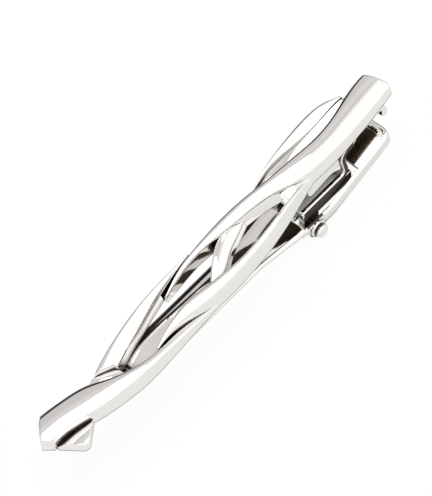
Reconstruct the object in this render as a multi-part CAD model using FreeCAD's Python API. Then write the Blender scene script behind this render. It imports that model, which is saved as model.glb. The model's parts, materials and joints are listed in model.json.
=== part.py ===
"""Openwork tie clip: a cast ribbon face, a bracket behind it, and a sprung jaw lever on a rivet.

Lengths are millimetres. While the pieces are made, X runs along the face from its left tip,
Y runs across it to the far side, and Z = 0 is the flat back of the face, with the front up.
At the end everything moves along X, so that the origin is where the jaw grips.
"""
import FreeCAD
import Part

import math
import os
from collections import namedtuple

# Face
FACE_LENGTH = 60.0
FACE_WIDTH = 8.0
FACE_DEPTH = 3.1
FACE_DRAFT = 4.0
EDGE_ROUND = 0.22

# Pivot
PIVOT_FROM_END = 17.2
PIVOT_DROP = 6.0
PIN_DIAMETER = 1.0
PIN_FIT = 0.03
HEAD_DIAMETER = 1.8
HEAD_HEIGHT = 0.75
TAIL_DIAMETER = 1.7
TAIL_HEIGHT = 0.4
HEAD_CLEARANCE = 0.06

# Spring
SPRING_WIRE = 0.3
SPRING_TURNS = 3
SPRING_BORE_GAP = 0.15
SPRING_SIDE_GAP = 0.15
SPRING_LEG_GAP = 0.06
ARM_LEG = 5.5
STRIP_LEG = 5.0

# Bracket
BRACKET_SHEET = 0.8
BRACKET_WIDTH = 4.9
BRACKET_EAR = 1.3
STRIP_RISE = 2.35
POST_FROM_PIVOT = 7.1
CORNER_BEND = 0.9
FOOT_BEND = 1.2
CURL_BEND = 1.1
CURL_FROM_END = 1.9
CURL_DROP = 2.2
FOOT_WIDTH = 3.2
FOOT_SHIFT = -0.55
FOOT_NECK = 1.6
STRIP_FLANGE = 1.2
CHEEK_LENGTH = 6.0
CHEEK_DROP = 2.0
CHEEK_SHEET = 0.6
CHEEK_INSET = 0.15
CHEEK_CORNER = 0.8

# Lever
LEVER_SHEET = 0.5
ARM_WIDTH = 5.0
FLANGE_DEPTH = 0.7
LEVER_EAR = 1.36
EAR_BOSS = 0.35
BOSS_DIAMETER = 2.3
LEVER_SIDE_GAP = 0.3
RAIL_SINK = 0.45
RAIL_DEPTH = 2.05
JAW_REACH = 30.4
JAW_LENGTH = 4.4
JAW_GAP = 0.06
JAW_BEND = 2.4
JAW_CORNER = 1.2
TOOTH_COUNT = 3
TOOTH_PITCH = 0.6
TOOTH_WIDTH = 0.45
TOOTH_DEPTH = 0.2
WINDOW_BACK = 1.6
RAIL_LEAD = 1.0
SHOULDER = 6.0
KNEE = 2.8
KNEE_BEND = 3.0
TAB_REACH = 14.2
TAIL_RISE = 1.22
TAB_CROWN = 0.59
TAB_CORNER = 1.4
TAB_POST_GAP = 0.9

# Limits on thin ribbons: shares of the width that the walls lean over, of the top and of the wall
# that the near and the far edge round take.
LEAN_SHARE = 0.25
ROUND_SHARE = 0.2
WALL_SHARE = 0.4
FAR_ROUND_SHARE = 0.3
FAR_WALL_SHARE = 0.5

BELOW = 2.0
TOUCHING = 1e-6
Z_UP = FreeCAD.Vector(0, 0, 1)
Y_AXIS = FreeCAD.Vector(0, 1, 0)

# The face is drawn as ribbons on a pattern of this size, then stretched to the sizes above.
PATTERN = FreeCAD.Vector(60.0, 8.0, 3.1)
Station = namedtuple("Station", "x near far near_z far_z crown far_round")

LEFT_RIBBON = [
    Station(-1.0, 0.75, 4.65, 2.0, 1.62, 0.42, 0.45),
    Station(1.2, 0.50, 4.48, 2.05, 1.65, 0.42, 0.45),
    Station(3.4, 0.05, 4.12, 2.15, 1.7, 0.43, 0.45),
    Station(6.0, -0.95, 3.38, 2.3, 1.85, 0.44, 0.45),
    Station(9.0, -1.95, 2.05, 2.4, 2.05, 0.42, 0.40),
    Station(10.8, -2.40, 0.60, 2.4, 2.3, 0.38, 0.32),
    Station(13.0, -2.85, -0.80, 2.4, 2.5, 0.32, 0.25),
    Station(15.5, -3.08, -1.60, 2.2, 2.3, 0.24, 0.22),
    Station(18.0, -3.16, -1.90, 1.85, 1.95, 0.18, 0.20),
    Station(21.0, -3.20, -1.95, 1.45, 1.5, 0.14, 0.15),
    Station(24.5, -3.26, -2.35, 0.9, 0.9, 0.08, 0.10),
    Station(27.5, -3.35, -2.95, 0.3, 0.3, 0.05, 0.05),
]
HEEL_RIBBON = [
    Station(0.4, -2.683, 0.68, 1.32, 0.2, 0.33, 0.22),
    Station(3.2, -2.683, 0.63, 1.32, 0.2, 0.36, 0.22),
    Station(6.8, -2.683, -0.02, 1.32, 0.3, 0.34, 0.22),
]
FAR_BOW = [
    Station(8.6, -0.20, 1.80, 1.0, 1.1, 0.15, 0.15),
    Station(10.5, 0.00, 2.35, 1.6, 1.9, 0.22, 0.22),
    Station(12.6, 0.42, 2.80, 1.75, 2.2, 0.25, 0.22),
    Station(15.0, 1.05, 3.20, 1.75, 2.35, 0.26, 0.22),
    Station(18.0, 1.65, 3.55, 1.75, 2.4, 0.25, 0.22),
    Station(21.5, 2.28, 3.72, 1.8, 2.4, 0.22, 0.22),
    Station(25.0, 2.75, 3.58, 1.9, 2.3, 0.15, 0.18),
    Station(28.8, 3.02, 3.24, 2.0, 2.1, 0.05, 0.06),
]
RIGHT_RIBBON = [
    Station(23.2, 2.05, 2.40, 1.0, 1.0, 0.08, 0.10),
    Station(26.0, 2.12, 2.94, 1.8, 1.8, 0.16, 0.22),
    Station(29.0, 2.10, 3.22, 2.15, 2.1, 0.20, 0.28),
    Station(32.0, 1.62, 3.20, 2.3, 2.3, 0.26, 0.30),
    Station(35.0, 1.00, 2.98, 2.35, 2.5, 0.32, 0.32),
    Station(38.0, 0.42, 2.53, 2.35, 2.65, 0.38, 0.36),
    Station(41.0, -0.50, 1.90, 2.35, 2.75, 0.44, 0.40),
    Station(44.0, -1.70, 1.47, 2.3, 2.75, 0.52, 0.45),
    Station(47.0, -2.25, 1.08, 2.15, 2.6, 0.55, 0.55),
    Station(50.0, -2.44, 1.00, 1.9, 2.35, 0.56, 0.75),
    Station(54.0, -2.40, 1.40, 1.7, 2.15, 0.58, 0.75),
    Station(57.5, -2.24, 1.75, 1.5, 1.95, 0.58, 0.50),
    Station(61.0, -1.95, 1.65, 1.3, 1.7, 0.50, 0.45),
]
NEAR_BOW = [
    Station(17.2, -1.95, -1.70, 1.9, 1.9, 0.05, 0.06),
    Station(19.0, -1.98, -1.10, 2.2, 2.3, 0.18, 0.25),
    Station(21.0, -2.20, -0.78, 2.4, 2.6, 0.30, 0.30),
    Station(23.0, -2.58, -0.65, 2.5, 2.75, 0.36, 0.30),
    Station(25.5, -3.14, -1.00, 2.55, 2.75, 0.38, 0.30),
    Station(28.5, -3.54, -1.75, 2.55, 2.75, 0.31, 0.30),
    Station(31.5, -3.66, -2.30, 2.55, 2.7, 0.25, 0.28),
    Station(34.5, -3.62, -2.42, 2.5, 2.65, 0.22, 0.26),
    Station(37.5, -3.34, -2.32, 2.5, 2.62, 0.19, 0.24),
    Station(40.0, -2.98, -2.07, 2.4, 2.5, 0.17, 0.22),
    Station(42.6, -2.50, -1.65, 1.9, 1.95, 0.14, 0.20),
    Station(45.6, -1.95, -1.40, 0.8, 0.8, 0.10, 0.10),
]
FAR_LEAF = [
    Station(39.4, 2.20, 2.48, 1.4, 1.5, 0.06, 0.10),
    Station(42.0, 2.36, 3.12, 1.5, 2.0, 0.16, 0.25),
    Station(45.0, 2.28, 3.54, 1.45, 2.1, 0.24, 0.45),
    Station(48.0, 1.98, 3.72, 1.4, 2.1, 0.30, 0.55),
    Station(51.0, 1.80, 3.64, 1.4, 2.1, 0.30, 0.55),
    Station(53.5, 1.74, 3.06, 1.45, 1.95, 0.24, 0.40),
    Station(55.3, 1.66, 2.12, 1.5, 1.6, 0.08, 0.15),
]
CROSSBAR = [
    Station(26.8, -2.30, -1.60, 1.35, 1.5, 0.08, 0.12),
    Station(28.4, -2.05, -0.40, 1.35, 1.75, 0.18, 0.22),
    Station(30.0, -1.58, 0.66, 1.3, 1.95, 0.22, 0.22),
    Station(32.0, -0.58, 1.66, 1.3, 1.95, 0.22, 0.22),
    Station(34.0, 0.08, 2.18, 1.3, 1.9, 0.22, 0.22),
    Station(36.2, 0.75, 2.20, 1.3, 1.65, 0.16, 0.20),
]
LEAF_WEB = [
    Station(40.4, 1.75, 2.42, 1.3, 1.35, 0.04, 0.05),
    Station(42.0, 1.50, 2.80, 1.4, 1.45, 0.05, 0.10),
    Station(45.0, 1.10, 2.90, 1.3, 1.4, 0.06, 0.10),
    Station(48.0, 0.85, 2.75, 1.2, 1.4, 0.06, 0.10),
    Station(51.0, 0.80, 2.60, 1.15, 1.4, 0.06, 0.10),
    Station(53.5, 0.95, 2.35, 1.2, 1.45, 0.05, 0.10),
    Station(55.3, 1.20, 2.00, 1.3, 1.4, 0.04, 0.05),
]
NEAR_WEB = [
    Station(41.2, -2.20, -0.40, 1.5, 1.9, 0.06, 0.10),
    Station(42.4, -2.30, -0.75, 1.6, 1.95, 0.06, 0.10),
    Station(44.0, -2.20, -1.20, 1.4, 1.7, 0.05, 0.10),
    Station(45.8, -1.95, -1.50, 0.9, 0.9, 0.04, 0.05),
]
FAR_WEB = [
    Station(8.4, 0.50, 2.10, 1.0, 1.05, 0.05, 0.10),
    Station(10.0, 0.00, 2.42, 1.15, 1.2, 0.05, 0.10),
    Station(12.0, -0.70, 1.90, 1.2, 1.25, 0.05, 0.10),
    Station(12.9, -1.00, 1.20, 1.1, 1.15, 0.05, 0.10),
]
# Outlines that cut the ends of the face and of the far bow, as points of the pattern.
LEFT_END = [(2.75, 4.15), (1.9, 3.45), (0.0, 1.65), (1.12, 0.0), (2.6, -2.2), (30.0, -5.0), (30.0, 6.0),
            (6.4, 6.0)]
HEEL_END = [(3.13, -2.956), (6.8, -0.62), (6.8, 0.9), (1.2, 0.9), (1.2, 0.16)]
HEEL_END_ROUND = 0.7
RIGHT_END = [(60.0, -2.15), (58.9, 1.75), (58.0, 5.0), (20.0, 5.0), (20.0, -5.0), (60.0, -5.0)]
RIGHT_END_ROUND = 0.7
FAR_BOW_START = [(12.9, 0.5), (12.6, 1.05), (10.0, 2.48), (9.6, 3.0), (9.6, 6.0), (32.0, 6.0), (32.0, -5.0),
                 (12.9, -5.0)]

# Places worked out from the sizes
pivot_x = FACE_LENGTH - PIVOT_FROM_END
pin_radius = PIN_DIAMETER / 2
coil_radius = pin_radius + SPRING_BORE_GAP + SPRING_WIRE / 2
lever_rise = coil_radius + SPRING_WIRE / 2 + SPRING_LEG_GAP + LEVER_SHEET
lever_inner = BRACKET_WIDTH / 2 + LEVER_SIDE_GAP
lever_outer = lever_inner + LEVER_SHEET
jaw_tip_x = pivot_x - JAW_REACH
jaw_bend_x = jaw_tip_x + JAW_LENGTH
grip_x = jaw_tip_x + JAW_LENGTH / 2
post_x = pivot_x + POST_FROM_PIVOT
coil_half = BRACKET_WIDTH / 2 - BRACKET_SHEET - SPRING_SIDE_GAP - SPRING_WIRE / 2
leg_rise = STRIP_RISE - SPRING_LEG_GAP - SPRING_WIRE / 2


def lever_slope():
    """Angle at which a straight arm leaves the flat jaw and passes lever_rise above the pin."""
    run = pivot_x - jaw_bend_x
    drop = PIVOT_DROP - JAW_GAP
    return math.acos(lever_rise / math.hypot(run, drop)) - math.atan2(run, drop)


slope = lever_slope()


def solid(shape, name):
    """Returns the one valid solid in a shape."""
    if not shape.isValid() or len(shape.Solids) != 1:
        raise ValueError(f"{name}: valid {shape.isValid()}, solids {len(shape.Solids)}")
    return shape.Solids[0]


def at_pin(x, z):
    """Point in the plane y = 0, from x along the arm and z above the pin, square to the arm."""
    return FreeCAD.Vector(pivot_x + x * math.cos(slope) + z * math.sin(slope), 0,
                          -PIVOT_DROP - x * math.sin(slope) + z * math.cos(slope))


def polygon(points):
    """Flat face inside a closed outline of points."""
    return Part.Face(Part.makePolygon(points + points[:1]))


def polygon_prism(points, bottom, top):
    """Upright prism on a plan outline given as (x, y) points."""
    return polygon([FreeCAD.Vector(x, y, bottom) for x, y in points]).extrude(Z_UP * (top - bottom))


def upright_edges(shape, places):
    """Edges of a prism that stand at the given (x, y) places."""
    def stands(edge):
        low, high = edge.Vertexes[0].Point, edge.Vertexes[-1].Point
        ends = [math.dist((end.x, end.y), place) for place in places for end in (low, high)]
        return abs(low.z - high.z) > TOUCHING and min(ends) < TOUCHING

    return [edge for edge in shape.Edges if stands(edge)]


def section(station):
    """Closed section of a ribbon: drafted walls, rounded edges and a domed top."""
    stretch = FACE_WIDTH / PATTERN.y
    lift = FACE_DEPTH / PATTERN.z
    x = station.x * FACE_LENGTH / PATTERN.x
    near, far = station.near * stretch, station.far * stretch
    near_z, far_z = station.near_z * lift, station.far_z * lift
    lean = min(math.tan(math.radians(FACE_DRAFT)), LEAN_SHARE * (far - near) / (near_z + far_z))
    left, right = near + lean * near_z, far - lean * far_z
    span = right - left
    far_round = station.far_round * stretch
    share = min(EDGE_ROUND / span, ROUND_SHARE)
    far_share = min(far_round / span, FAR_ROUND_SHARE)
    soften = min(EDGE_ROUND, WALL_SHARE * near_z)
    far_soften = min(far_round, FAR_WALL_SHARE * far_z)

    def top(t):
        z = near_z + (far_z - near_z) * t + 4 * station.crown * lift * t * (1 - t)
        return FreeCAD.Vector(x, left + span * t, z)

    def curve(poles):
        bezier = Part.BezierCurve()
        bezier.setPoles(poles)
        return bezier.toShape()

    crest = (top(share) + top(1 - far_share)) * 0.5
    crest.z += 2 * station.crown * lift * (1 - share - far_share) ** 2
    low_near = FreeCAD.Vector(x, left - lean * soften, near_z - soften)
    low_far = FreeCAD.Vector(x, right + lean * far_soften, far_z - far_soften)
    foot_near = FreeCAD.Vector(x, near - lean * BELOW, -BELOW)
    foot_far = FreeCAD.Vector(x, far + lean * BELOW, -BELOW)
    return Part.Wire([
        Part.makeLine(foot_near, low_near),
        curve([low_near, top(0), top(share)]),
        curve([top(share), crest, top(1 - far_share)]),
        curve([top(1 - far_share), top(1), low_far]),
        Part.makeLine(low_far, foot_far),
        Part.makeLine(foot_far, foot_near),
    ])


def ribbon(stations):
    """Solid band of the face through its stations, reaching below the back until it is trimmed."""
    solid_loft, ruled, closed, degree = True, False, False, 3
    return Part.makeLoft([section(station) for station in stations], solid_loft, ruled, closed, degree)


def on_face(points):
    """Pattern points stretched to the size of the face."""
    return [(x * FACE_LENGTH / PATTERN.x, y * FACE_WIDTH / PATTERN.y) for x, y in points]


def pattern_prism(points):
    """Prism on a pattern outline, tall enough to cut any ribbon."""
    return polygon_prism(on_face(points), -2 * BELOW, 4 * FACE_DEPTH)


def rounded_prism(points, corners, radius):
    """Prism on a pattern outline, with some of its corners rounded."""
    prism = pattern_prism(points)
    return prism.makeFillet(radius, upright_edges(prism, on_face(corners)))


def make_face():
    """Cast openwork face: ribbons that run over and under each other and webs, flat at the back."""
    bands = [
        ribbon(LEFT_RIBBON).common(pattern_prism(LEFT_END)),
        ribbon(HEEL_RIBBON).common(rounded_prism(HEEL_END, HEEL_END[:1], HEEL_END_ROUND)),
        ribbon(FAR_BOW).common(pattern_prism(FAR_BOW_START)),
        ribbon(RIGHT_RIBBON).common(rounded_prism(RIGHT_END, RIGHT_END[:2], RIGHT_END_ROUND)),
        ribbon(NEAR_BOW),
        ribbon(FAR_LEAF),
        ribbon(CROSSBAR),
        ribbon(LEAF_WEB),
        ribbon(NEAR_WEB),
        ribbon(FAR_WEB),
    ]
    face = bands[0].fuse(bands[1:])
    below = Part.makeBox(3 * FACE_LENGTH, 6 * FACE_WIDTH, 4 * BELOW,
                         FreeCAD.Vector(-FACE_LENGTH, -3 * FACE_WIDTH, -4 * BELOW))
    return solid(face.cut(below), "front_face")


def bent_profile(points, radii, over, under):
    """Face in the plane y = 0 along a bent line, between two distances square to that line.

    points are (x, z) vectors in that plane, radii the bend radius at each inner point.
    """
    upper, lower = [], []
    turn_up = FreeCAD.Vector(0, -1, 0)

    def normal(a, b):
        return turn_up.cross(b - a).normalize()

    def both_sides(point, square):
        return point + square * over, point - square * under

    start_up, start_down = both_sides(points[0], normal(points[0], points[1]))
    for before, corner, after, radius in zip(points, points[1:], points[2:], radii):
        square_in, square_out = normal(before, corner), normal(corner, after)
        turn = square_in.getAngle(square_out)
        reach = radius * math.tan(turn / 2)
        first = corner - (corner - before).normalize() * reach
        last = corner + (after - corner).normalize() * reach
        middle_square = (square_in + square_out).normalize()
        bend_side = 1 if square_in.cross(square_out).y < 0 else -1
        centre = first + square_in * (radius * bend_side)
        middle = centre - middle_square * (radius * bend_side)
        for square, point in ((square_in, first), (middle_square, middle), (square_out, last)):
            up, down = both_sides(point, square)
            upper.append(up)
            lower.append(down)
    end_up, end_down = both_sides(points[-1], normal(points[-2], points[-1]))

    def side(start, bends, end):
        edges = []
        place = start
        for i in range(0, len(bends), 3):
            edges.append(Part.makeLine(place, bends[i]))
            edges.append(Part.Arc(*bends[i:i + 3]).toShape())
            place = bends[i + 2]
        return edges + [Part.makeLine(place, end)]

    edges = side(start_up, upper, end_up) + side(start_down, lower, end_down)
    edges += [Part.makeLine(start_up, start_down), Part.makeLine(end_up, end_down)]
    return Part.Face(Part.Wire(Part.__sortEdges__(edges)))


def between(profile, near, far):
    """Solid of an upright profile from y = near to y = far."""
    return profile.translated(Y_AXIS * near).extrude(Y_AXIS * (far - near))


def on_both_sides(profile, inner, outer):
    """The same slab of a profile on the near and the far side."""
    return [between(profile, -outer, -inner), between(profile, inner, outer)]


def ear_profile(radius, top):
    """Upright ear round the pin, as wide as its round end, up to top above the pin."""
    left, right = at_pin(-radius, 0), at_pin(radius, 0)
    corner_left, corner_right = at_pin(-radius, top), at_pin(radius, top)
    edges = [
        Part.Arc(left, at_pin(0, -radius), right).toShape(),
        Part.makeLine(right, corner_right),
        Part.makeLine(corner_right, corner_left),
        Part.makeLine(corner_left, left),
    ]
    return Part.Face(Part.Wire(edges))


def pin_cylinder(radius, near, far):
    """Cylinder on the pin's axis."""
    base = FreeCAD.Vector(pivot_x, near, -PIVOT_DROP)
    return Part.makeCylinder(radius, far - near, base, Y_AXIS)


def lever_line():
    """Top line of the lever's sheet at rest: flat jaw, straight arm, knee past the pin, and the tail."""
    knee = at_pin(KNEE, lever_rise)
    return [
        FreeCAD.Vector(jaw_tip_x, 0, -JAW_GAP),
        FreeCAD.Vector(jaw_bend_x, 0, -JAW_GAP),
        knee,
        FreeCAD.Vector(pivot_x + TAB_REACH, 0, knee.z + TAIL_RISE),
    ]


def channel(x, half, depth):
    """Outline of the arm's section at x: a flat sheet with both edges turned down to a depth."""
    top = -PIVOT_DROP + lever_rise / math.cos(slope) - (x - pivot_x) * math.tan(slope)
    floor, bottom = top - LEVER_SHEET / math.cos(slope), top - depth / math.cos(slope)
    inner = half - LEVER_SHEET
    places = [(-half, bottom), (-half, top), (half, top), (half, bottom),
              (inner, bottom), (inner, floor), (-inner, floor), (-inner, bottom)]
    points = [FreeCAD.Vector(x, y, z) for y, z in places]
    return Part.makePolygon(points + points[:1])


def straight_loft(outlines):
    """Solid with flat or ruled sides through closed outlines."""
    solid_loft, ruled = True, True
    return Part.makeLoft(outlines, solid_loft, ruled)


def above_tail():
    """Space above the crowned tail: outside a cylinder that lies along the tail, past the knee."""
    _, _, knee, end = lever_line()
    way = (end - knee).normalize()
    up = way.cross(Y_AXIS)
    radius = (lever_outer ** 2 + TAB_CROWN ** 2) / (2 * TAB_CROWN)
    crown = Part.makeCylinder(radius, 3 * TAB_REACH, knee - up * radius - way * TAB_REACH, way)
    room = Part.makeBox(TAB_REACH, 4 * lever_outer, 2 * PIVOT_DROP,
                        FreeCAD.Vector(knee.x, -2 * lever_outer, -2 * PIVOT_DROP))
    return room.cut(crown)


def rounded_plan(x_start, x_end, half_width, corner):
    """Plan outline from x_start to x_end with the corners at x_end rounded, as a prism under the face."""
    outline = [(x_start, -half_width), (x_end, -half_width), (x_end, half_width), (x_start, half_width)]
    prism = polygon_prism(outline, -2 * PIVOT_DROP, -JAW_GAP)
    return prism.makeFillet(corner, upright_edges(prism, outline[1:3]))


def square_to_tail(prism):
    """The same prism with its uprights square to the tail's sheet, turned about the tail's end."""
    _, _, knee, end = lever_line()
    rise = math.degrees(math.atan2(end.z - knee.z, end.x - knee.x))
    return prism.rotated(end, Y_AXIS, -rise)


def jaw_teeth():
    """Notches across the flat jaw that leave its teeth."""
    cuts = []
    for i in range(TOOTH_COUNT):
        x = jaw_tip_x + TOOTH_PITCH * i + TOOTH_WIDTH
        notch = polygon([
            FreeCAD.Vector(x - TOOTH_WIDTH / 2, 0, -JAW_GAP + TOOTH_DEPTH),
            FreeCAD.Vector(x + TOOTH_WIDTH / 2, 0, -JAW_GAP + TOOTH_DEPTH),
            FreeCAD.Vector(x, 0, -JAW_GAP - TOOTH_DEPTH),
        ])
        cuts.append(between(notch, -ARM_WIDTH, ARM_WIDTH))
    return cuts


def make_lever():
    """Pressed lever: channel arm with a toothed jaw, two ears on the pin, side rails, and a thumb tab.

    The edges of the sheet turn down, away from the face. The arm widens into a shoulder, and past it
    a window between the rails lets the bracket's ears and the spring down to the pin. From the pin on
    the rails are deeper, and the wall at the tail's end stands square to the tab.
    """
    line = lever_line()
    bends = [JAW_BEND, KNEE_BEND]
    sheet = bent_profile(line, bends, 0, LEVER_SHEET)
    flange = bent_profile(line, bends, 0, FLANGE_DEPTH)
    lead = bent_profile(line, bends, -RAIL_SINK, RAIL_SINK + FLANGE_DEPTH)
    rail = bent_profile(line, bends, -RAIL_SINK, RAIL_DEPTH)
    tab = bent_profile(line, bends, 0, TAB_CROWN + LEVER_SHEET)
    arm_half = ARM_WIDTH / 2
    window_start = pivot_x - WINDOW_BACK
    rail_start = window_start - RAIL_LEAD
    arm_end = rail_start - SHOULDER
    tab_start = post_x + BRACKET_SHEET / 2 + TAB_POST_GAP
    tab_end = pivot_x + TAB_REACH
    arm_plan = rounded_plan(arm_end, jaw_tip_x, arm_half, JAW_CORNER)
    tab_plan = square_to_tail(rounded_plan(tab_start, tab_end, lever_outer, TAB_CORNER))
    rail_plan = square_to_tail(rounded_plan(pivot_x, tab_end, lever_outer, TAB_CORNER))
    rail_core = square_to_tail(rounded_plan(jaw_tip_x, tab_end - LEVER_SHEET, lever_inner,
                                            TAB_CORNER - LEVER_SHEET))
    lead_start, lead_side = window_start - LEVER_SHEET, 2 * lever_outer
    lead_plan = polygon_prism([(lead_start, -lead_side), (pivot_x, -lead_side), (pivot_x, lead_side),
                               (lead_start, lead_side)], -2 * PIVOT_DROP, -JAW_GAP)
    pieces = [between(sheet, -arm_half, arm_half).common(arm_plan)]
    flanges = on_both_sides(flange, arm_half - LEVER_SHEET, arm_half)
    pieces += [slab.common(arm_plan) for slab in flanges]
    pieces.append(straight_loft([channel(arm_end, arm_half, FLANGE_DEPTH),
                                 channel(rail_start, lever_outer, FLANGE_DEPTH),
                                 channel(window_start, lever_outer, FLANGE_DEPTH)]))
    pieces += [slab.common(lead_plan) for slab in on_both_sides(lead, lever_inner, lever_outer)]
    pieces.append(between(rail, -lever_outer, lever_outer).common(rail_plan).cut(rail_core))
    pieces.append(between(tab, -lever_outer, lever_outer).common(tab_plan))
    pieces += on_both_sides(ear_profile(LEVER_EAR, lever_rise - RAIL_SINK), lever_inner, lever_outer)
    boss_outer = lever_outer + EAR_BOSS
    pieces += [pin_cylinder(BOSS_DIAMETER / 2, -boss_outer, -lever_inner),
               pin_cylinder(BOSS_DIAMETER / 2, lever_inner, boss_outer)]
    lever = pieces[0].fuse(pieces[1:])
    bore = pin_cylinder(pin_radius + PIN_FIT, -2 * lever_outer, 2 * lever_outer)
    lever = lever.cut([bore, above_tail()] + jaw_teeth())
    return solid(lever.removeSplitter(), "jaw_lever")


def bracket_line():
    """Middle line of the bracket: strip, post up to the face, foot along its back, end curl."""
    middle = STRIP_RISE + BRACKET_SHEET / 2
    start = at_pin(-BRACKET_EAR, middle)
    end = at_pin(BRACKET_EAR, middle)
    corner_z = start.z + (end.z - start.z) * (post_x - start.x) / (end.x - start.x)
    foot_z = -BRACKET_SHEET / 2
    curl_x = FACE_LENGTH - CURL_FROM_END
    return [
        start,
        FreeCAD.Vector(post_x, 0, corner_z),
        FreeCAD.Vector(post_x, 0, foot_z),
        FreeCAD.Vector(curl_x, 0, foot_z),
        FreeCAD.Vector(curl_x - BRACKET_SHEET / 2, 0, foot_z - CURL_DROP),
    ]


def cheek_profile():
    """Cheek under the face: level lower edge with a round start, falling in an arc to the post."""
    start, bend_x = post_x - CHEEK_LENGTH, post_x - 0.45 * CHEEK_LENGTH
    short = CHEEK_CORNER * (1 - math.sqrt(0.5))
    places = [
        (start, 0), (start, CHEEK_CORNER - CHEEK_DROP), (start + short, short - CHEEK_DROP),
        (start + CHEEK_CORNER, -CHEEK_DROP), (bend_x, -CHEEK_DROP),
        ((bend_x + post_x) / 2, -1.21 * CHEEK_DROP), (post_x, -1.85 * CHEEK_DROP), (post_x, 0),
    ]
    points = [FreeCAD.Vector(x, 0, z) for x, z in places]
    edges = [
        Part.makeLine(points[0], points[1]),
        Part.Arc(*points[1:4]).toShape(),
        Part.makeLine(points[3], points[4]),
        Part.Arc(*points[4:7]).toShape(),
        Part.makeLine(points[6], points[7]),
        Part.makeLine(points[7], points[0]),
    ]
    return Part.Face(Part.Wire(edges))


def make_bracket():
    """Bent bracket: ears that hold the pin, a strip with side flanges, a post, and a foot with a cheek."""
    half = BRACKET_SHEET / 2
    profile = bent_profile(bracket_line(), [CORNER_BEND, FOOT_BEND, CURL_BEND], half, half)
    half_width = BRACKET_WIDTH / 2
    foot_start = post_x + FOOT_BEND
    near, far = FOOT_SHIFT - FOOT_WIDTH / 2, FOOT_SHIFT + FOOT_WIDTH / 2
    plan = [
        (0, -half_width),
        (foot_start, -half_width),
        (foot_start + FOOT_NECK, near),
        (2 * FACE_LENGTH, near),
        (2 * FACE_LENGTH, far),
        (foot_start + FOOT_NECK, far),
        (foot_start, half_width),
        (0, half_width),
    ]
    strip = between(profile, -half_width, half_width)
    strip = strip.common(polygon_prism(plan, -2 * PIVOT_DROP, PIVOT_DROP))
    ear = ear_profile(BRACKET_EAR, STRIP_RISE + half)
    ears = on_both_sides(ear, half_width - BRACKET_SHEET, half_width)
    flange_end = POST_FROM_PIVOT + BRACKET_SHEET / 4
    flange_low, flange_top = STRIP_RISE - STRIP_FLANGE, STRIP_RISE + half
    flange = polygon([at_pin(0, flange_low), at_pin(flange_end, flange_low), at_pin(flange_end, flange_top),
                      at_pin(0, flange_top)])
    flanges = on_both_sides(flange, half_width - BRACKET_SHEET, half_width)
    cheek = between(cheek_profile(), near + CHEEK_INSET, near + CHEEK_INSET + CHEEK_SHEET)
    bore = pin_cylinder(pin_radius, -BRACKET_WIDTH, BRACKET_WIDTH)
    return solid(strip.fuse([*ears, *flanges, cheek]).cut(bore).removeSplitter(), "hinge_bracket")


def dome(radius, height, y, outward):
    """Domed rivet end with its flat side at y, standing outward along the pin's axis."""
    ball = (radius ** 2 + height ** 2) / (2 * height)
    start = FreeCAD.Vector(pivot_x, y, -PIVOT_DROP)
    side = FreeCAD.Vector(radius, 0, 0)
    top = start + Y_AXIS * (height * outward)
    angle = math.asin(min(1.0, radius / ball)) / 2
    centre = top - Y_AXIS * (ball * outward)
    half_way = centre + FreeCAD.Vector(ball * math.sin(angle), ball * math.cos(angle) * outward, 0)
    edges = [
        Part.makeLine(start, start + side),
        Part.Arc(start + side, half_way, top).toShape(),
        Part.makeLine(top, start),
    ]
    return Part.Face(Part.Wire(edges)).revolve(start, Y_AXIS, 360)


def make_pin():
    """Rivet through both pairs of ears: domed head on the near side, closed tail on the far side."""
    reach = lever_outer + EAR_BOSS + HEAD_CLEARANCE
    shank = pin_cylinder(pin_radius, -reach, reach)
    head = dome(HEAD_DIAMETER / 2, HEAD_HEIGHT, -reach, -1)
    tail = dome(TAIL_DIAMETER / 2, TAIL_HEIGHT, reach, 1)
    return solid(shank.fuse([head, tail]).removeSplitter(), "pivot_rivet")


def biarc(start, start_way, end, end_way):
    """Two arcs from start to end that leave and arrive along the given unit directions."""
    chord = end - start
    ways = start_way + end_way
    spread = 2 * (1 - start_way.dot(end_way))
    along = chord.dot(ways)
    reach = (-along + math.sqrt(along ** 2 + spread * chord.dot(chord))) / spread
    joint = (start + end + (start_way - end_way) * reach) * 0.5

    def arc(a, way, b):
        leap = b - a
        square = (leap - way * leap.dot(way)).normalize()
        radius = leap.dot(leap) / (2 * leap.dot(square))
        centre = a + square * radius
        out = ((a - centre) + (b - centre)).normalize()
        return Part.Arc(a, centre + out * radius, b).toShape(), radius

    first, first_radius = arc(start, start_way, joint)
    back, last_radius = arc(end, end_way * -1, joint)
    last = Part.Arc(joint, back.valueAt((back.FirstParameter + back.LastParameter) / 2), end).toShape()
    return [first, last], min(first_radius, last_radius)


def coil_sweep():
    """Angle the coil turns through: whole turns, less the lift of the leg that meets the strip."""
    lift = math.asin(leg_rise / math.hypot(coil_radius, STRIP_LEG)) - math.atan2(coil_radius, STRIP_LEG)
    return 2 * math.pi * SPRING_TURNS - lift


def coil_point(step, steps):
    """Point and direction of the coil's middle line after some steps, clockwise from the arm's leg.

    The first and last step only climb half as far, so that both legs leave square to the pin.
    """
    turn = coil_sweep() / steps
    angle = slope + turn * step
    climb = 2 * coil_half / (steps - 1)
    climbed = min(max(step - 0.5, 0), steps - 1)
    point = FreeCAD.Vector(pivot_x + coil_radius * math.sin(angle), coil_half - climb * climbed,
                           -PIVOT_DROP + coil_radius * math.cos(angle))
    pitch = 0 if step in (0, steps) else climb
    run = coil_radius * turn
    way = FreeCAD.Vector(run * math.cos(angle), -pitch, -run * math.sin(angle))
    return point, way.normalize()


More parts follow.
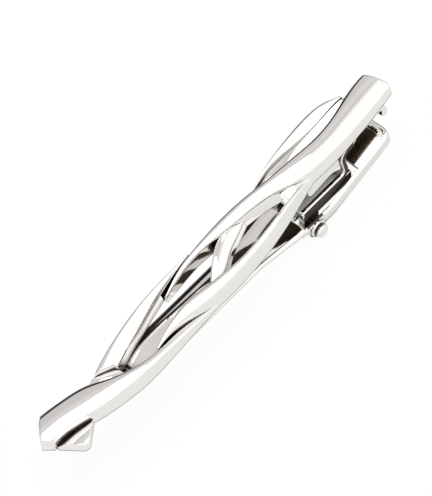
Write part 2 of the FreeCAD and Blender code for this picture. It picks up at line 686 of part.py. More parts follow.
def least_gap(wire, diameter):
    """Smallest clear distance between stretches of the tube that are not neighbours along it."""
    step = diameter / 4
    points = wire.discretize(Distance=step)
    apart = int(math.pi * diameter / step)
    least = 1e9
    for i, a in enumerate(points):
        for b in points[i + apart:]:
            least = min(least, (a - b).Length)
    return least - diameter


def make_spring():
    """Torsion spring: one leg under the arm, open turns round the pin, one leg under the strip."""
    steps = 4 * SPRING_TURNS
    stops = [coil_point(i, steps) for i in range(steps + 1)]
    edges = []
    tightest = coil_radius
    for (start, start_way), (end, end_way) in zip(stops, stops[1:]):
        arcs, radius = biarc(start, start_way, end, end_way)
        edges += arcs
        tightest = min(tightest, radius)
    first, first_way = stops[0]
    last, last_way = stops[-1]
    arm_end = first - first_way * ARM_LEG
    strip_end = last + last_way * STRIP_LEG
    path = Part.Wire([Part.makeLine(arm_end, first)] + edges + [Part.makeLine(last, strip_end)])
    ring_edge = Part.makeCircle(SPRING_WIRE / 2, arm_end, first_way)
    tube = path.makePipeShell([Part.Wire([ring_edge])], True, False)
    volume = math.pi * SPRING_WIRE ** 2 / 4 * path.Length
    print(f"spring: tube volume {tube.Volume:.3f}, section times length {volume:.3f}")
    print(f"spring: tightest bend {tightest:.2f}, least gap to itself {least_gap(path, SPRING_WIRE):.2f}")
    return solid(tube, "torsion_spring")


def main():
    """Makes the five pieces, moves the origin to the grip, and writes one STEP file each."""
    nodes = {
        "front_face": make_face(),
        "hinge_bracket": make_bracket(),
        "pivot_rivet": make_pin(),
        "torsion_spring": make_spring(),
        "jaw_lever": make_lever(),
    }
    os.makedirs("parts", exist_ok=True)
    for name, shape in nodes.items():
        moved = shape.translated(FreeCAD.Vector(-grip_x, 0, 0))
        box = moved.BoundBox
        print(f"{name}: x {box.XMin:.2f} {box.XMax:.2f}, y {box.YMin:.2f} {box.YMax:.2f}, "
              f"z {box.ZMin:.2f} {box.ZMax:.2f}, volume {moved.Volume:.1f}")
        moved.exportStep(f"parts/{name}.step")
    print(f"pivot at x {pivot_x - grip_x:.3f}, z {-PIVOT_DROP:.3f}")
    print(f"arm slope {math.degrees(slope):.2f} degrees")


main()
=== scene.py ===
import json
import math

import bmesh
import bpy
import numpy as np
from bpy.props import FloatProperty, FloatVectorProperty, IntProperty, PointerProperty
from bpy.types import Operator, Panel, PropertyGroup
from mathutils import Matrix, Vector

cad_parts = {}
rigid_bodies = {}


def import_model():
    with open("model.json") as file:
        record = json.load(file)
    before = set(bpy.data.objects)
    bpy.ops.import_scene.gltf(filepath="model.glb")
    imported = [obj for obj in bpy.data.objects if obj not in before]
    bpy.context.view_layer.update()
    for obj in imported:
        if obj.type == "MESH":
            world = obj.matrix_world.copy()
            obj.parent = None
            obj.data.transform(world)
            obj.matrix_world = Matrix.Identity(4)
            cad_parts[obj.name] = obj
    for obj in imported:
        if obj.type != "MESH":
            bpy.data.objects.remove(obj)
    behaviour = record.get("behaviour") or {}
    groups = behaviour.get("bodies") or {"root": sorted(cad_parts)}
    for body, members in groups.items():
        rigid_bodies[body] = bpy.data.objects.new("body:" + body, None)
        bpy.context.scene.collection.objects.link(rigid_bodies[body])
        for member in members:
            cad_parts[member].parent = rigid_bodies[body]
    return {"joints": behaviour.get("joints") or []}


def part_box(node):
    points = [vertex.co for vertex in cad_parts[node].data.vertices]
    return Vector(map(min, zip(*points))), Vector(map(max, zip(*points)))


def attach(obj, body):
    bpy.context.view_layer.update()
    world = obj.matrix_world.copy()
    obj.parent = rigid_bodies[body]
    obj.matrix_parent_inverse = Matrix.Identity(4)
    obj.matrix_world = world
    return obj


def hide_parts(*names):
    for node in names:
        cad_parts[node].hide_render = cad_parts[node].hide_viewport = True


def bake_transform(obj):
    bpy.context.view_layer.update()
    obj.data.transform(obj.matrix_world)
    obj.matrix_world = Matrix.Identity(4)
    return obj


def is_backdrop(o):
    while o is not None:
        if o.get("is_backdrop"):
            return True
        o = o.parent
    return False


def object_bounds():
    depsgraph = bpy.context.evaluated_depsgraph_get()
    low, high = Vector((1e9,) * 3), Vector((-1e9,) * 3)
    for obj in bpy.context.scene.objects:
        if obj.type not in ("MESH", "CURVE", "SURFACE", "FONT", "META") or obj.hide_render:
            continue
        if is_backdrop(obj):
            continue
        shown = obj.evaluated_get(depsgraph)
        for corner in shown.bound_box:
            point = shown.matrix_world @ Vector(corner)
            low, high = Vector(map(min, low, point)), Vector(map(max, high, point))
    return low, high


bl_info = {
    "name": "Openwork tie clip",
    "version": (1, 0, 0),
    "blender": (4, 5, 0),
    "location": "View3D > Sidebar > Tie clip",
    "description": "Polished ribbon face, bracket, rivet, spring and jaw lever of a tie clip",
    "category": "Object",
}

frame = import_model()

MM = 0.001
FACE_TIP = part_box("front_face")[0].x / MM
JAW_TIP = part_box("jaw_lever")[0].x / MM
HINGE = frame["joints"][0]
PIN = np.array(HINGE["pos_m"]) / MM
FACE_BODY = HINGE["parent"]
LEVER_BODY = HINGE["child"]

# Ribbons of the face in millimetres. Each row is a place along the face from its left tip, the near
# and the far edge across it, the height of both edges above the back, the crown between them and
# the round along the far edge.
LEFT_RIBBON = np.array([
    (-1.0, 0.75, 4.65, 2.0, 1.62, 0.42, 0.45),
    (1.2, 0.5, 4.48, 2.05, 1.65, 0.42, 0.45),
    (3.4, 0.05, 4.12, 2.15, 1.7, 0.43, 0.45),
    (6.0, -0.95, 3.38, 2.3, 1.85, 0.44, 0.45),
    (9.0, -1.95, 2.05, 2.4, 2.05, 0.42, 0.4),
    (10.8, -2.4, 0.6, 2.4, 2.3, 0.38, 0.32),
    (13.0, -2.85, -0.8, 2.4, 2.5, 0.32, 0.25),
    (15.5, -3.08, -1.6, 2.2, 2.3, 0.24, 0.22),
    (18.0, -3.16, -1.9, 1.85, 1.95, 0.18, 0.2),
    (21.0, -3.2, -1.95, 1.45, 1.5, 0.14, 0.15),
    (24.5, -3.26, -2.35, 0.9, 0.9, 0.08, 0.1),
    (27.5, -3.35, -2.95, 0.3, 0.3, 0.05, 0.05),
])
HEEL_RIBBON = np.array([
    (0.4, -2.683, 0.68, 1.32, 0.2, 0.33, 0.22),
    (3.2, -2.683, 0.63, 1.32, 0.2, 0.36, 0.22),
    (6.8, -2.683, -0.02, 1.32, 0.3, 0.34, 0.22),
])
FAR_BOW = np.array([
    (8.6, -0.2, 1.8, 1.0, 1.1, 0.15, 0.15),
    (10.5, 0.0, 2.35, 1.6, 1.9, 0.22, 0.22),
    (12.6, 0.42, 2.8, 1.75, 2.2, 0.25, 0.22),
    (15.0, 1.05, 3.2, 1.75, 2.35, 0.26, 0.22),
    (18.0, 1.65, 3.55, 1.75, 2.4, 0.25, 0.22),
    (21.5, 2.28, 3.72, 1.8, 2.4, 0.22, 0.22),
    (25.0, 2.75, 3.58, 1.9, 2.3, 0.15, 0.18),
    (28.8, 3.02, 3.24, 2.0, 2.1, 0.05, 0.06),
])
RIGHT_RIBBON = np.array([
    (23.2, 2.05, 2.4, 1.0, 1.0, 0.08, 0.1),
    (26.0, 2.12, 2.94, 1.8, 1.8, 0.16, 0.22),
    (29.0, 2.1, 3.22, 2.15, 2.1, 0.2, 0.28),
    (32.0, 1.62, 3.2, 2.3, 2.3, 0.26, 0.3),
    (35.0, 1.0, 2.98, 2.35, 2.5, 0.32, 0.32),
    (38.0, 0.42, 2.53, 2.35, 2.65, 0.38, 0.36),
    (41.0, -0.5, 1.9, 2.35, 2.75, 0.44, 0.4),
    (44.0, -1.7, 1.47, 2.3, 2.75, 0.52, 0.45),
    (47.0, -2.25, 1.08, 2.15, 2.6, 0.55, 0.55),
    (50.0, -2.44, 1.0, 1.9, 2.35, 0.56, 0.75),
    (54.0, -2.4, 1.4, 1.7, 2.15, 0.58, 0.75),
    (57.5, -2.24, 1.75, 1.5, 1.95, 0.58, 0.5),
    (61.0, -1.95, 1.65, 1.3, 1.7, 0.5, 0.45),
])
NEAR_BOW = np.array([
    (17.2, -1.95, -1.7, 1.9, 1.9, 0.05, 0.06),
    (19.0, -1.98, -1.1, 2.2, 2.3, 0.18, 0.25),
    (21.0, -2.2, -0.78, 2.4, 2.6, 0.3, 0.3),
    (23.0, -2.58, -0.65, 2.5, 2.75, 0.36, 0.3),
    (25.5, -3.14, -1.0, 2.55, 2.75, 0.38, 0.3),
    (28.5, -3.54, -1.75, 2.55, 2.75, 0.31, 0.3),
    (31.5, -3.66, -2.3, 2.55, 2.7, 0.25, 0.28),
    (34.5, -3.62, -2.42, 2.5, 2.65, 0.22, 0.26),
    (37.5, -3.34, -2.32, 2.5, 2.62, 0.19, 0.24),
    (40.0, -2.98, -2.07, 2.4, 2.5, 0.17, 0.22),
    (42.6, -2.5, -1.65, 1.9, 1.95, 0.14, 0.2),
    (45.6, -1.95, -1.4, 0.8, 0.8, 0.1, 0.1),
])
FAR_LEAF = np.array([
    (39.4, 2.2, 2.48, 1.4, 1.5, 0.06, 0.1),
    (42.0, 2.36, 3.12, 1.5, 2.0, 0.16, 0.25),
    (45.0, 2.28, 3.54, 1.45, 2.1, 0.24, 0.45),
    (48.0, 1.98, 3.72, 1.4, 2.1, 0.3, 0.55),
    (51.0, 1.8, 3.64, 1.4, 2.1, 0.3, 0.55),
    (53.5, 1.74, 3.06, 1.45, 1.95, 0.24, 0.4),
    (55.3, 1.66, 2.12, 1.5, 1.6, 0.08, 0.15),
])
CROSSBAR = np.array([
    (26.8, -2.3, -1.6, 1.35, 1.5, 0.08, 0.12),
    (28.4, -2.05, -0.4, 1.35, 1.75, 0.18, 0.22),
    (30.0, -1.58, 0.66, 1.3, 1.95, 0.22, 0.22),
    (32.0, -0.58, 1.66, 1.3, 1.95, 0.22, 0.22),
    (34.0, 0.08, 2.18, 1.3, 1.9, 0.22, 0.22),
    (36.2, 0.75, 2.2, 1.3, 1.65, 0.16, 0.2),
])
LEAF_WEB = np.array([
    (40.4, 1.75, 2.42, 1.3, 1.35, 0.04, 0.05),
    (42.0, 1.5, 2.8, 1.4, 1.45, 0.05, 0.1),
    (45.0, 1.1, 2.9, 1.3, 1.4, 0.06, 0.1),
    (48.0, 0.85, 2.75, 1.2, 1.4, 0.06, 0.1),
    (51.0, 0.8, 2.6, 1.15, 1.4, 0.06, 0.1),
    (53.5, 0.95, 2.35, 1.2, 1.45, 0.05, 0.1),
    (55.3, 1.2, 2.0, 1.3, 1.4, 0.04, 0.05),
])
NEAR_WEB = np.array([
    (41.2, -2.2, -0.4, 1.5, 1.9, 0.06, 0.1),
    (42.4, -2.3, -0.75, 1.6, 1.95, 0.06, 0.1),
    (44.0, -2.2, -1.2, 1.4, 1.7, 0.05, 0.1),
    (45.8, -1.95, -1.5, 0.9, 0.9, 0.04, 0.05),
])
FAR_WEB = np.array([
    (8.4, 0.5, 2.1, 1.0, 1.05, 0.05, 0.1),
    (10.0, 0.0, 2.42, 1.15, 1.2, 0.05, 0.1),
    (12.0, -0.7, 1.9, 1.2, 1.25, 0.05, 0.1),
    (12.9, -1.0, 1.2, 1.1, 1.15, 0.05, 0.1),
])

# Slanting ends of the face, as points (along, across) that the ends run through.
LEFT_END = [(2.75, -2.2), (0.12, 1.72), (1.9, 3.45), (2.75, 4.15), (4.2, 4.9)]
HEEL_START = [(1.21, 0.16), (2.76, -2.35), (3.01, -2.59), (3.355, -2.683)]
HEEL_BACK = [(3.355, -2.683), (3.55, -2.656), (3.73, -2.573), (6.79, -0.62)]
RIGHT_END = [(60.0, -2.15), (58.9, 1.75)]
FAR_BOW_START = [(12.9, 0.5), (12.6, 1.05), (10.0, 2.48), (9.6, 3.0)]

# Counts of rows, columns and steps.
WALL_STEPS = 5
ROUND_STEPS = 6
DOME_STEPS = 28
CORNER_STEPS = 5
ARC_STEPS = 25
SETTLING_STEPS = 8
CIRCLE_STEPS = 96
TURN_STEPS = 14
BEND_STEPS = 10
RIM_STEPS = 16
TAB_COLUMNS = 41
PIN_STEPS = 64
COIL_STEPS = 64
LEG_STEPS = 40
WIRE_STEPS = 16

# Shares of a ribbon's section, and of an outline's side, that leans and rounds may take.
LEAN_SHARE = 0.25
ROUND_SHARE = 0.2
FAR_ROUND_SHARE = 0.3
SOFT_SHARE = 0.4
FAR_SOFT_SHARE = 0.5
END_SHARE = 0.45
CORNER_SHARE = 0.499

# Distances between the rows of the sheets, and small sizes of the sheets and the rivet, in millimetres.
ARM_ROW = 0.3
RIM_ROW = 0.15
TAB_ROW = 0.2
STRIP_ROW = 0.12
FLANGE_ROW = 0.2
CHEEK_ROW = 0.1
FAR_DEEPER = 0.1
FAR_THICKER = 0.15
NEAR_THICKER = 0.1
RAIL_EASE = 0.3
TAB_EDGE = 0.2
COLLAR_EDGE = 0.2
FOOT_LEAD = 0.1
CHEEK_CORNER = 0.8
RIM = 0.12
RIM_ROUND = 0.04

# Shares and angles of the tab's nose, the cheek's lower edge and the spring.
NOSE_SHARE = 0.8
CHEEK_FALL = 0.85
CHEEK_FALL_SHARE = 0.45
COIL_OPEN = math.radians(15.9)
COIL_EASE = 0.5
WIRE_TIP = 0.6

SIDES = (-1.0, 1.0)
TINY = 1e-9
MERGE_DISTANCE = 1e-7
FLAT_WEIGHT = 60
SHEET_CREASE = 32.0
ROUND_CREASE = 40.0

# Finishes and painted shade: scales of the fine marks along X, Y and Z, then where the matt finish and
# the painted shade begin and end, as hidden sky, as parts of the way a surface faces, and as heights
# and distances in metres.
POLISHED = (300.0, 2400.0, 2400.0)
ROLLED = (250.0, 5200.0, 5200.0)
TURNED = (3000.0, 900.0, 3000.0)
DRAWN = (2600.0, 2600.0, 2600.0)
CLOUDS = 420.0
CLOUD_TONE = 0.975
MATT_TONE = 0.66
MARK_DEPTH = 0.00002
SHADE_IN_RECESS = (0.3, 0.46)
UP_FACING = (0.7, 0.9)
DOWN_FACING = (-0.8, -0.3)
SIDE_FACING = (0.75, 0.9)
SHADED_BACK = (0.00004, 0.00016)
SHADED_UNDERSIDE = (-0.0022, -0.0012)
STRIP_TOP = (-0.0024, -0.0016)
MATT_EDGE = (0.0018, 0.0019)
SHADED_SIDES = (0.0023, 0.0024)

# How strongly the fine marks, the clouds, the painted shade and the matt finish change the metal.
FINE_DETAIL = 4.0
CLOUD_DETAIL = 3.0
CLOUD_EDGES = (0.3, 0.75)
SKY_SAMPLES = 16
SHADE_LEAST = 0.6
SHADE_CLOUDS = 0.6
ROUGH_LEAST = 0.75
ROUGH_CLOUDS = 0.5
ROUGH_MARKS = 0.03
ROUGH_IN_SHADE = 0.3
ROUGH_MATT = 0.34
MATT_LOSS = 0.85

# Stage: the way to the camera, the point it looks at, the floor's gap and border and the lamp, in
# metres, how white the floor looks, and the edges of the lights as parts of the way up.
CAMERA_SIDE = (-0.28, -0.42, 0.863)
CAMERA_TARGET = (0.01737, 0.00199, 0.0)
CAMERA_NEAREST = 0.01
SENSOR_WIDTH = 36.0
FLOOR_GAP = 0.00002
FLOOR_BORDER = (0.016, 0.002)
SEEN_WHITE = 0.9
SEEN_BORDER = 0.1
MIRRORED = 0.6
LAMP_SIZE = 0.3
LAMP_POWER = 0.35
LAMP_PLACE = (0.02, 0.02, 0.35)
FAR_SIDE = (0.0, 0.3)
FAR_SLANT = 0.35
OVERHEAD = (0.91, 0.955)
BAND_LOW = (0.62, 0.8)
BAND_HIGH = (0.84, 0.91)
BAND_LIGHT = 0.1
SCREEN_FOOT = (0.22, 0.34)
GLOOM_FOOT = (-0.34, -0.06)
NEAR_RISE = (-0.1, 0.3)
WORLD_STRENGTH = 1.08
WHITE = (1.0, 1.0, 1.0)

# Columns of a ribbon's section: near wall, near round, top, far round, far wall, with places 0 to 1.
COLUMN_PARTS = [np.linspace(0.0, 1.0, WALL_STEPS), np.linspace(0.0, 1.0, ROUND_STEPS + 2)[1:-1],
                np.linspace(0.0, 1.0, DOME_STEPS), np.linspace(0.0, 1.0, ROUND_STEPS + 2)[1:-1],
                np.linspace(0.0, 1.0, WALL_STEPS)]
COLUMN_PLACES = np.concatenate(COLUMN_PARTS)
COLUMN_KINDS = np.repeat(np.arange(len(COLUMN_PARTS)), [len(part) for part in COLUMN_PARTS])


def size(name, description, default):
    """A length that a user may change, given in millimetres and kept in metres."""
    return FloatProperty(name=name, description=description, default=default * MM, min=0.0,
                         precision=5, unit="LENGTH")


def shade(name, description, default):
    """A colour that a user may change, as linear light."""
    return FloatVectorProperty(name=name, description=description, default=default, size=3,
                               min=0.0, max=1.0, subtype="COLOR")


def share(name, description, default):
    """A plain number that a user may change."""
    return FloatProperty(name=name, description=description, default=default, min=0.0, max=1.0,
                         precision=3)


class FaceSettings(PropertyGroup):
    """Sizes of the ribbon face."""
    edge_round: size("Edge round", "Round along the top edges of each ribbon", 0.22)
    end_round: size("End round", "Round over the cut ends of the ribbons", 0.16)
    corner_round: size("Corner round", "Round of the right end's corners, seen from above", 0.7)
    row_gap: size("Row gap", "Distance between the rows of a ribbon's surface", 0.12)
    end_foot: size("End foot", "How far the left end's wall leans out at the back", 0.14)
    end_flare: size("End flare", "How much more it leans out on the far side", 0.27)
    draft: FloatProperty(name="Draft", description="Lean of the side walls", subtype="ANGLE",
                         default=math.radians(4.0), min=0.0, max=math.radians(20.0))


class LeverSettings(PropertyGroup):
    """Sizes of the jaw lever."""
    sheet: size("Sheet", "Thickness of the lever's sheet", 0.5)
    arm_width: size("Arm width", "Width of the jaw arm", 5.0)
    flange: size("Flange", "Depth of the arm's turned-down edges", 0.7)
    far_bend: size("Far bend", "Width over which the arm curves down to its far edge", 1.5)
    far_fall: size("Far fall", "Depth that the arm curves down to its far edge", 0.6)
    near_bend: size("Near bend", "Width over which the arm curves down to its near edge", 0.6)
    near_fall: size("Near fall", "Depth that the arm curves down to its near edge", 0.22)
    rail_sink: size("Rail sink", "Height of the rails' tops below the arm's floor", 0.45)
    rail_depth: size("Rail depth", "Depth of the rails below the arm's floor", 2.05)
    rise: size("Rise", "Height of the arm's floor above the rivet's axis", 1.51)
    half_width: size("Half width", "Distance from the middle to the outside of a rail", 3.25)
    jaw_length: size("Jaw length", "Length of the flat jaw", 4.4)
    jaw_gap: size("Jaw gap", "Gap between the closed jaw and the face", 0.06)
    jaw_bend: size("Jaw bend", "Bend radius behind the jaw", 2.4)
    jaw_corner: size("Jaw corner", "Round of the jaw's corners", 1.2)
    tooth_pitch: size("Tooth pitch", "Distance between the jaw's notches", 0.6)
    tooth_width: size("Tooth width", "Width of a notch", 0.45)
    tooth_depth: size("Tooth depth", "Depth of a notch", 0.2)
    teeth: IntProperty(name="Teeth", description="Number of notches", default=3, min=1, max=12)
    window_back: size("Window back", "Start of the window before the rivet", 1.6)
    rail_lead: size("Rail lead", "Length of the rails before the window", 1.0)
    shoulder: size("Shoulder", "Length over which the arm widens to the rails", 6.0)
    knee: size("Knee", "Distance of the knee past the rivet, along the arm", 2.8)
    knee_bend: size("Knee bend", "Bend radius of the knee", 3.0)
    tail_rise: size("Tail rise", "Height the tail climbs from the knee to its end", 1.22)
    tab_reach: size("Tab reach", "Distance of the tab's end past the rivet", 14.2)
    tab_start: size("Tab start", "Start of the tab past the rivet", 8.4)
    tab_crown: size("Tab crown", "Height of the tab's middle above its sides", 0.59)
    tab_corner: size("Tab corner", "Round of the tab's corners", 1.4)
    tab_nose: size("Tab nose", "Length over which the tab falls towards its end", 2.2)
    ear: size("Ear", "Radius of the ears round the rivet", 1.36)
    boss: size("Boss", "Height of the collar on each ear", 0.35)
    boss_radius: size("Boss radius", "Radius of the collar", 1.15)
    bore: size("Bore", "Radius of the hole for the rivet", 0.53)
    edge: size("Edge", "Softness of the sheet's edges", 0.09)


class BracketSettings(PropertyGroup):
    """Sizes of the hinge bracket."""
    sheet: size("Sheet", "Thickness of the bracket's sheet", 0.8)
    width: size("Width", "Width of the strip and the post", 4.9)
    ear: size("Ear", "Radius of the ears round the rivet", 1.3)
    strip_rise: size("Strip rise", "Height of the strip above the rivet's axis", 2.35)
    post: size("Post", "Distance of the post from the rivet", 7.1)
    corner_bend: size("Corner bend", "Bend radius between the strip and the post", 0.9)
    foot_bend: size("Foot bend", "Bend radius between the post and the foot", 1.2)
    curl_bend: size("Curl bend", "Bend radius of the end curl", 1.1)
    curl_reach: size("Curl reach", "Distance of the curl from the rivet", 15.3)
    curl_drop: size("Curl drop", "Height of the curl below the foot", 2.2)
    foot_width: size("Foot width", "Width of the foot", 3.2)
    foot_shift: size("Foot shift", "Shift of the foot to the near side", 0.55)
    foot_neck: size("Foot neck", "Length of the taper into the foot", 1.6)
    flange: size("Flange", "Depth of the strip's side flanges", 1.2)
    cheek_length: size("Cheek length", "Length of the near cheek before the post", 6.0)
    cheek_drop: size("Cheek drop", "Height of the cheek below the foot", 2.0)
    cheek_sheet: size("Cheek sheet", "Thickness of the cheek", 0.6)
    cheek_near: size("Cheek near", "Distance of the cheek's near side from the middle", 2.0)
    bore: size("Bore", "Radius of the hole for the rivet", 0.5)
    edge: size("Edge", "Softness of the sheet's edges", 0.12)
    strip_edge: size("Strip edge", "Softness of the strip's edges", 0.34)


class RivetSettings(PropertyGroup):
    """Sizes of the rivet and the spring on it."""
    shank: size("Shank", "Radius of the rivet", 0.5)
    head: size("Head", "Radius of the domed head", 0.9)
    head_height: size("Head height", "Height of the domed head", 0.75)
    neck: size("Neck", "Radius of the neck under the domed head", 0.58)
    neck_gap: size("Neck gap", "Length of that neck", 0.24)
    tail: size("Tail", "Radius of the closed end", 0.85)
    tail_height: size("Tail height", "Height of the closed end", 0.4)
    grip: size("Grip", "Half the length between head and tail", 3.66)
    wire: size("Wire", "Radius of the spring's wire", 0.15)
    coil: size("Coil", "Radius of the coil at the middle of the wire", 0.8)
    coil_half: size("Coil half", "Half the length of the coil along the rivet", 1.35)
    turns: IntProperty(name="Turns", description="Turns of the spring", default=3, min=1, max=12)
    arm_leg: size("Arm leg", "Length of the leg under the arm", 5.5)
    strip_leg: size("Strip leg", "Length of the leg under the strip", 5.0)


class FinishSettings(PropertyGroup):
    """Colours and polish of the metals."""
    plate: shade("Plate", "Colour of the polished plating", (0.95, 0.94, 0.915))
    pressing: shade("Pressing", "Colour of the plated pressings", (0.93, 0.92, 0.895))
    steel: shade("Steel", "Colour of the spring wire", (0.56, 0.55, 0.54))
    # Near-black colour painted as shade in the recesses, on the face's back and on the bracket's side
    # walls and underside.
    painted_shade_colour: shade("Tarnish", "Colour of the dull metal in the recesses", (0.045, 0.032, 0.02))
    polish: share("Polish", "Roughness of the polished face", 0.035)
    drawn: share("Drawn", "Roughness of the pressings", 0.06)
    spring: share("Spring", "Roughness of the spring wire", 0.22)


class StageSettings(PropertyGroup):
    """Camera, light and floor."""
    lens: FloatProperty(name="Lens", description="Focal length in millimetres", default=1000.0,
                        min=20.0, max=4000.0)
    frame_height: size("Frame height", "Height of the picture at the clip", 57.45)
    turn: FloatProperty(name="Turn", description="Slope of the clip's length in the picture",
                        subtype="ANGLE", default=math.radians(49.0))
    floor_radius: size("Floor radius", "Radius of the floor", 300.0)
    floor_reach: size("Floor reach", "Distance of the floor's far edge behind the clip", 13.4)
    floor_shift: size("Floor shift", "Distance of the floor's middle before the face's left tip", 15.4)
    floor: shade("Floor", "Colour of the floor", (0.93, 0.93, 0.925))
    paper: shade("Paper", "Colour of the floor in reflections", (0.74, 0.735, 0.70))
    zenith: shade("Overhead", "Light from above", (1.0, 1.0, 1.0))
    near: shade("Near side", "Low light from the near side", (0.80, 0.797, 0.775))
    screen: shade("Screen", "Light from the far side", (0.585, 0.565, 0.57))
    gloom: shade("Gloom", "Light from behind the table's far edge", (0.012, 0.010, 0.010))
    low: shade("Low", "Light from below the table's far edge", (0.42, 0.41, 0.40))


class Lengths:
    """Sizes of a settings group, read in millimetres."""

    def __init__(self, group):
        self.group = group

    def __getattr__(self, name):
        return getattr(self.group, name) / MM


class Wire:
    """A socket of a node tree. Arithmetic on it adds Math nodes, and node() adds any other node."""

    def __init__(self, tree, socket=None):
        self.tree = tree
        self.socket = socket

    @classmethod
    def fresh(cls, owner):
        """The emptied node tree of a new material or world."""
        owner.use_nodes = True
        owner.node_tree.nodes.clear()
        return cls(owner.node_tree)

    def node(self, kind, settings=None, sockets=None, output=0):
        """Adds a node, sets its settings, then fills its sockets with values or links."""
        made = self.tree.nodes.new(kind)
        for name, value in (settings or {}).items():
            setattr(made, name, value)
        for name, value in (sockets or {}).items():
            if isinstance(value, Wire):
                self.tree.links.new(value.socket, made.inputs[name])
            else:
                made.inputs[name].default_value = value
        return Wire(self.tree, made.outputs[output] if made.outputs else None)

    def maths(self, operation, *values):
        """Adds one Math node."""
        return self.node("ShaderNodeMath", {"operation": operation}, dict(enumerate(values)))

    def __add__(self, other):
        return self.maths("ADD", self, other)

    def __sub__(self, other):
        return self.maths("SUBTRACT", self, other)

    def __rsub__(self, other):
        return self.maths("SUBTRACT", other, self)

    def __mul__(self, other):
        return self.maths("MULTIPLY", self, other)

    def __abs__(self):
        return self.maths("ABSOLUTE", self)

    __radd__ = __add__
    __rmul__ = __mul__

    def most(self, other):
        """The greater of two values."""
        return self.maths("MAXIMUM", self, other)

    def part(self, axis):
        """One part of a vector."""
        return self.node("ShaderNodeSeparateXYZ", {}, {0: self}, axis)

    def blend(self, low, high):
        """Colour that runs from low to high as this value runs from 0 to 1."""
        low, high = (end if isinstance(end, Wire) else (*end, 1.0) for end in (low, high))
        return self.node("ShaderNodeMix", {"data_type": "RGBA"}, {0: self, 6: low, 7: high}, 2)

    def ramp(self, low, high):
        """Smooth step of this value from 0 at low to 1 at high."""
        return self.node("ShaderNodeMapRange", {"interpolation_type": "SMOOTHSTEP"},
                         {"Value": self, "From Min": low, "From Max": high})


def points(x, y, z):
    """Points from arrays of coordinates that fit each other."""
    return np.stack(np.broadcast_arrays(x, y, z), axis=-1)


def quarter(steps):
    """Angles of a quarter turn."""
    return np.linspace(0.0, math.pi / 2, steps)


def around(steps):
    """Angles of a full turn, without its end."""
    return np.linspace(0.0, 2 * math.pi, steps + 1)[:-1]


def unit(vectors):
    """Vectors of length 1 along the given ones."""
    return vectors / np.linalg.norm(vectors, axis=-1, keepdims=True)


def lengths_along(path):
    """Length of a path up to each of its points."""
    return np.concatenate([[0.0], np.cumsum(np.linalg.norm(np.diff(path, axis=0), axis=1))])


def quadratic(a, b, c, t):
    """Quadratic curve from a to c that leaves and arrives along the lines to b."""
    return (1 - t) ** 2 * a + 2 * t * (1 - t) * b + t ** 2 * c


def natural_spline(knots, values, at):
    """Cubics through the knots with continuous slope and curvature, and none at both ends."""
    gaps = np.diff(knots)
    count = len(knots)
    inner = np.arange(1, count - 1)
    system = np.eye(count)
    system[inner, inner - 1] = gaps[:-1]
    system[inner, inner] = 2 * (gaps[:-1] + gaps[1:])
    system[inner, inner + 1] = gaps[1:]
    right = np.zeros_like(values)
    right[1:-1] = 6 * np.diff(np.diff(values, axis=0) / gaps[:, None], axis=0)
    bends = np.linalg.solve(system, right)
    piece = np.clip(np.searchsorted(knots, at, side="right") - 1, 0, count - 2)
    b = ((at - knots[piece]) / gaps[piece])[..., None]
    a = 1 - b
    step = gaps[piece][..., None] ** 2 / 6
    straight = a * values[piece] + b * values[piece + 1]
    return straight + step * ((a ** 3 - a) * bends[piece] + (b ** 3 - b) * bends[piece + 1])


def section(stations, x, face):
    """Ribbon section at x, one place for each column: across and above the back, in millimetres.

    From the near foot the wall leans in by the draft, an edge round runs into the top, the top is
    near_z + (far_z - near_z) t + 4 crown t (1 - t), and the far side follows with its own round.
    """
    near, far, near_z, far_z, crown, far_round = np.moveaxis(
        natural_spline(stations[:, 0], stations[:, 1:], x), -1, 0)
    lean = np.minimum(math.tan(face.group.draft), LEAN_SHARE * (far - near) / (near_z + far_z))
    left = near + lean * near_z
    right = far - lean * far_z
    span = right - left
    edge = np.minimum(face.edge_round / span, ROUND_SHARE)
    far_edge = np.minimum(far_round / span, FAR_ROUND_SHARE)
    soften = np.minimum(face.edge_round, SOFT_SHARE * near_z)
    far_soften = np.minimum(far_round, FAR_SOFT_SHARE * far_z)
    place = COLUMN_PLACES
    t = edge + (1 - edge - far_edge) * place

    def height(at):
        return near_z + (far_z - near_z) * at + 4 * crown * at * (1 - at)

    low_near = left - lean * soften
    low_far = right + lean * far_soften
    across = np.choose(COLUMN_KINDS, [
        near + (low_near - near) * place,
        quadratic(low_near, left, left + span * edge, place),
        left + span * t,
        quadratic(right - span * far_edge, right, low_far, place),
        low_far + (far - low_far) * place,
    ])
    above = np.choose(COLUMN_KINDS, [
        (near_z - soften) * place,
        quadratic(near_z - soften, near_z, height(edge), place),
        height(t),
        quadratic(height(1 - far_edge), far_z, far_z - far_soften, place),
        (far_z - far_soften) * (1 - place),
    ])
    return across, above


def line_through(ends):
    """Place along the face for a place across it, straight between the given points."""
    along, across = np.array(sorted(ends, key=lambda point: point[1])).T
    return lambda y: np.interp(y, across, along)


def corner_cut(distance, radius):
    """How far a round corner stands back at a distance from its side: r - sqrt(r2 - (r - d)2)."""
    inside = np.clip(radius - distance, 0.0, radius)
    return radius - np.sqrt(np.maximum(radius ** 2 - inside ** 2, 0.0))


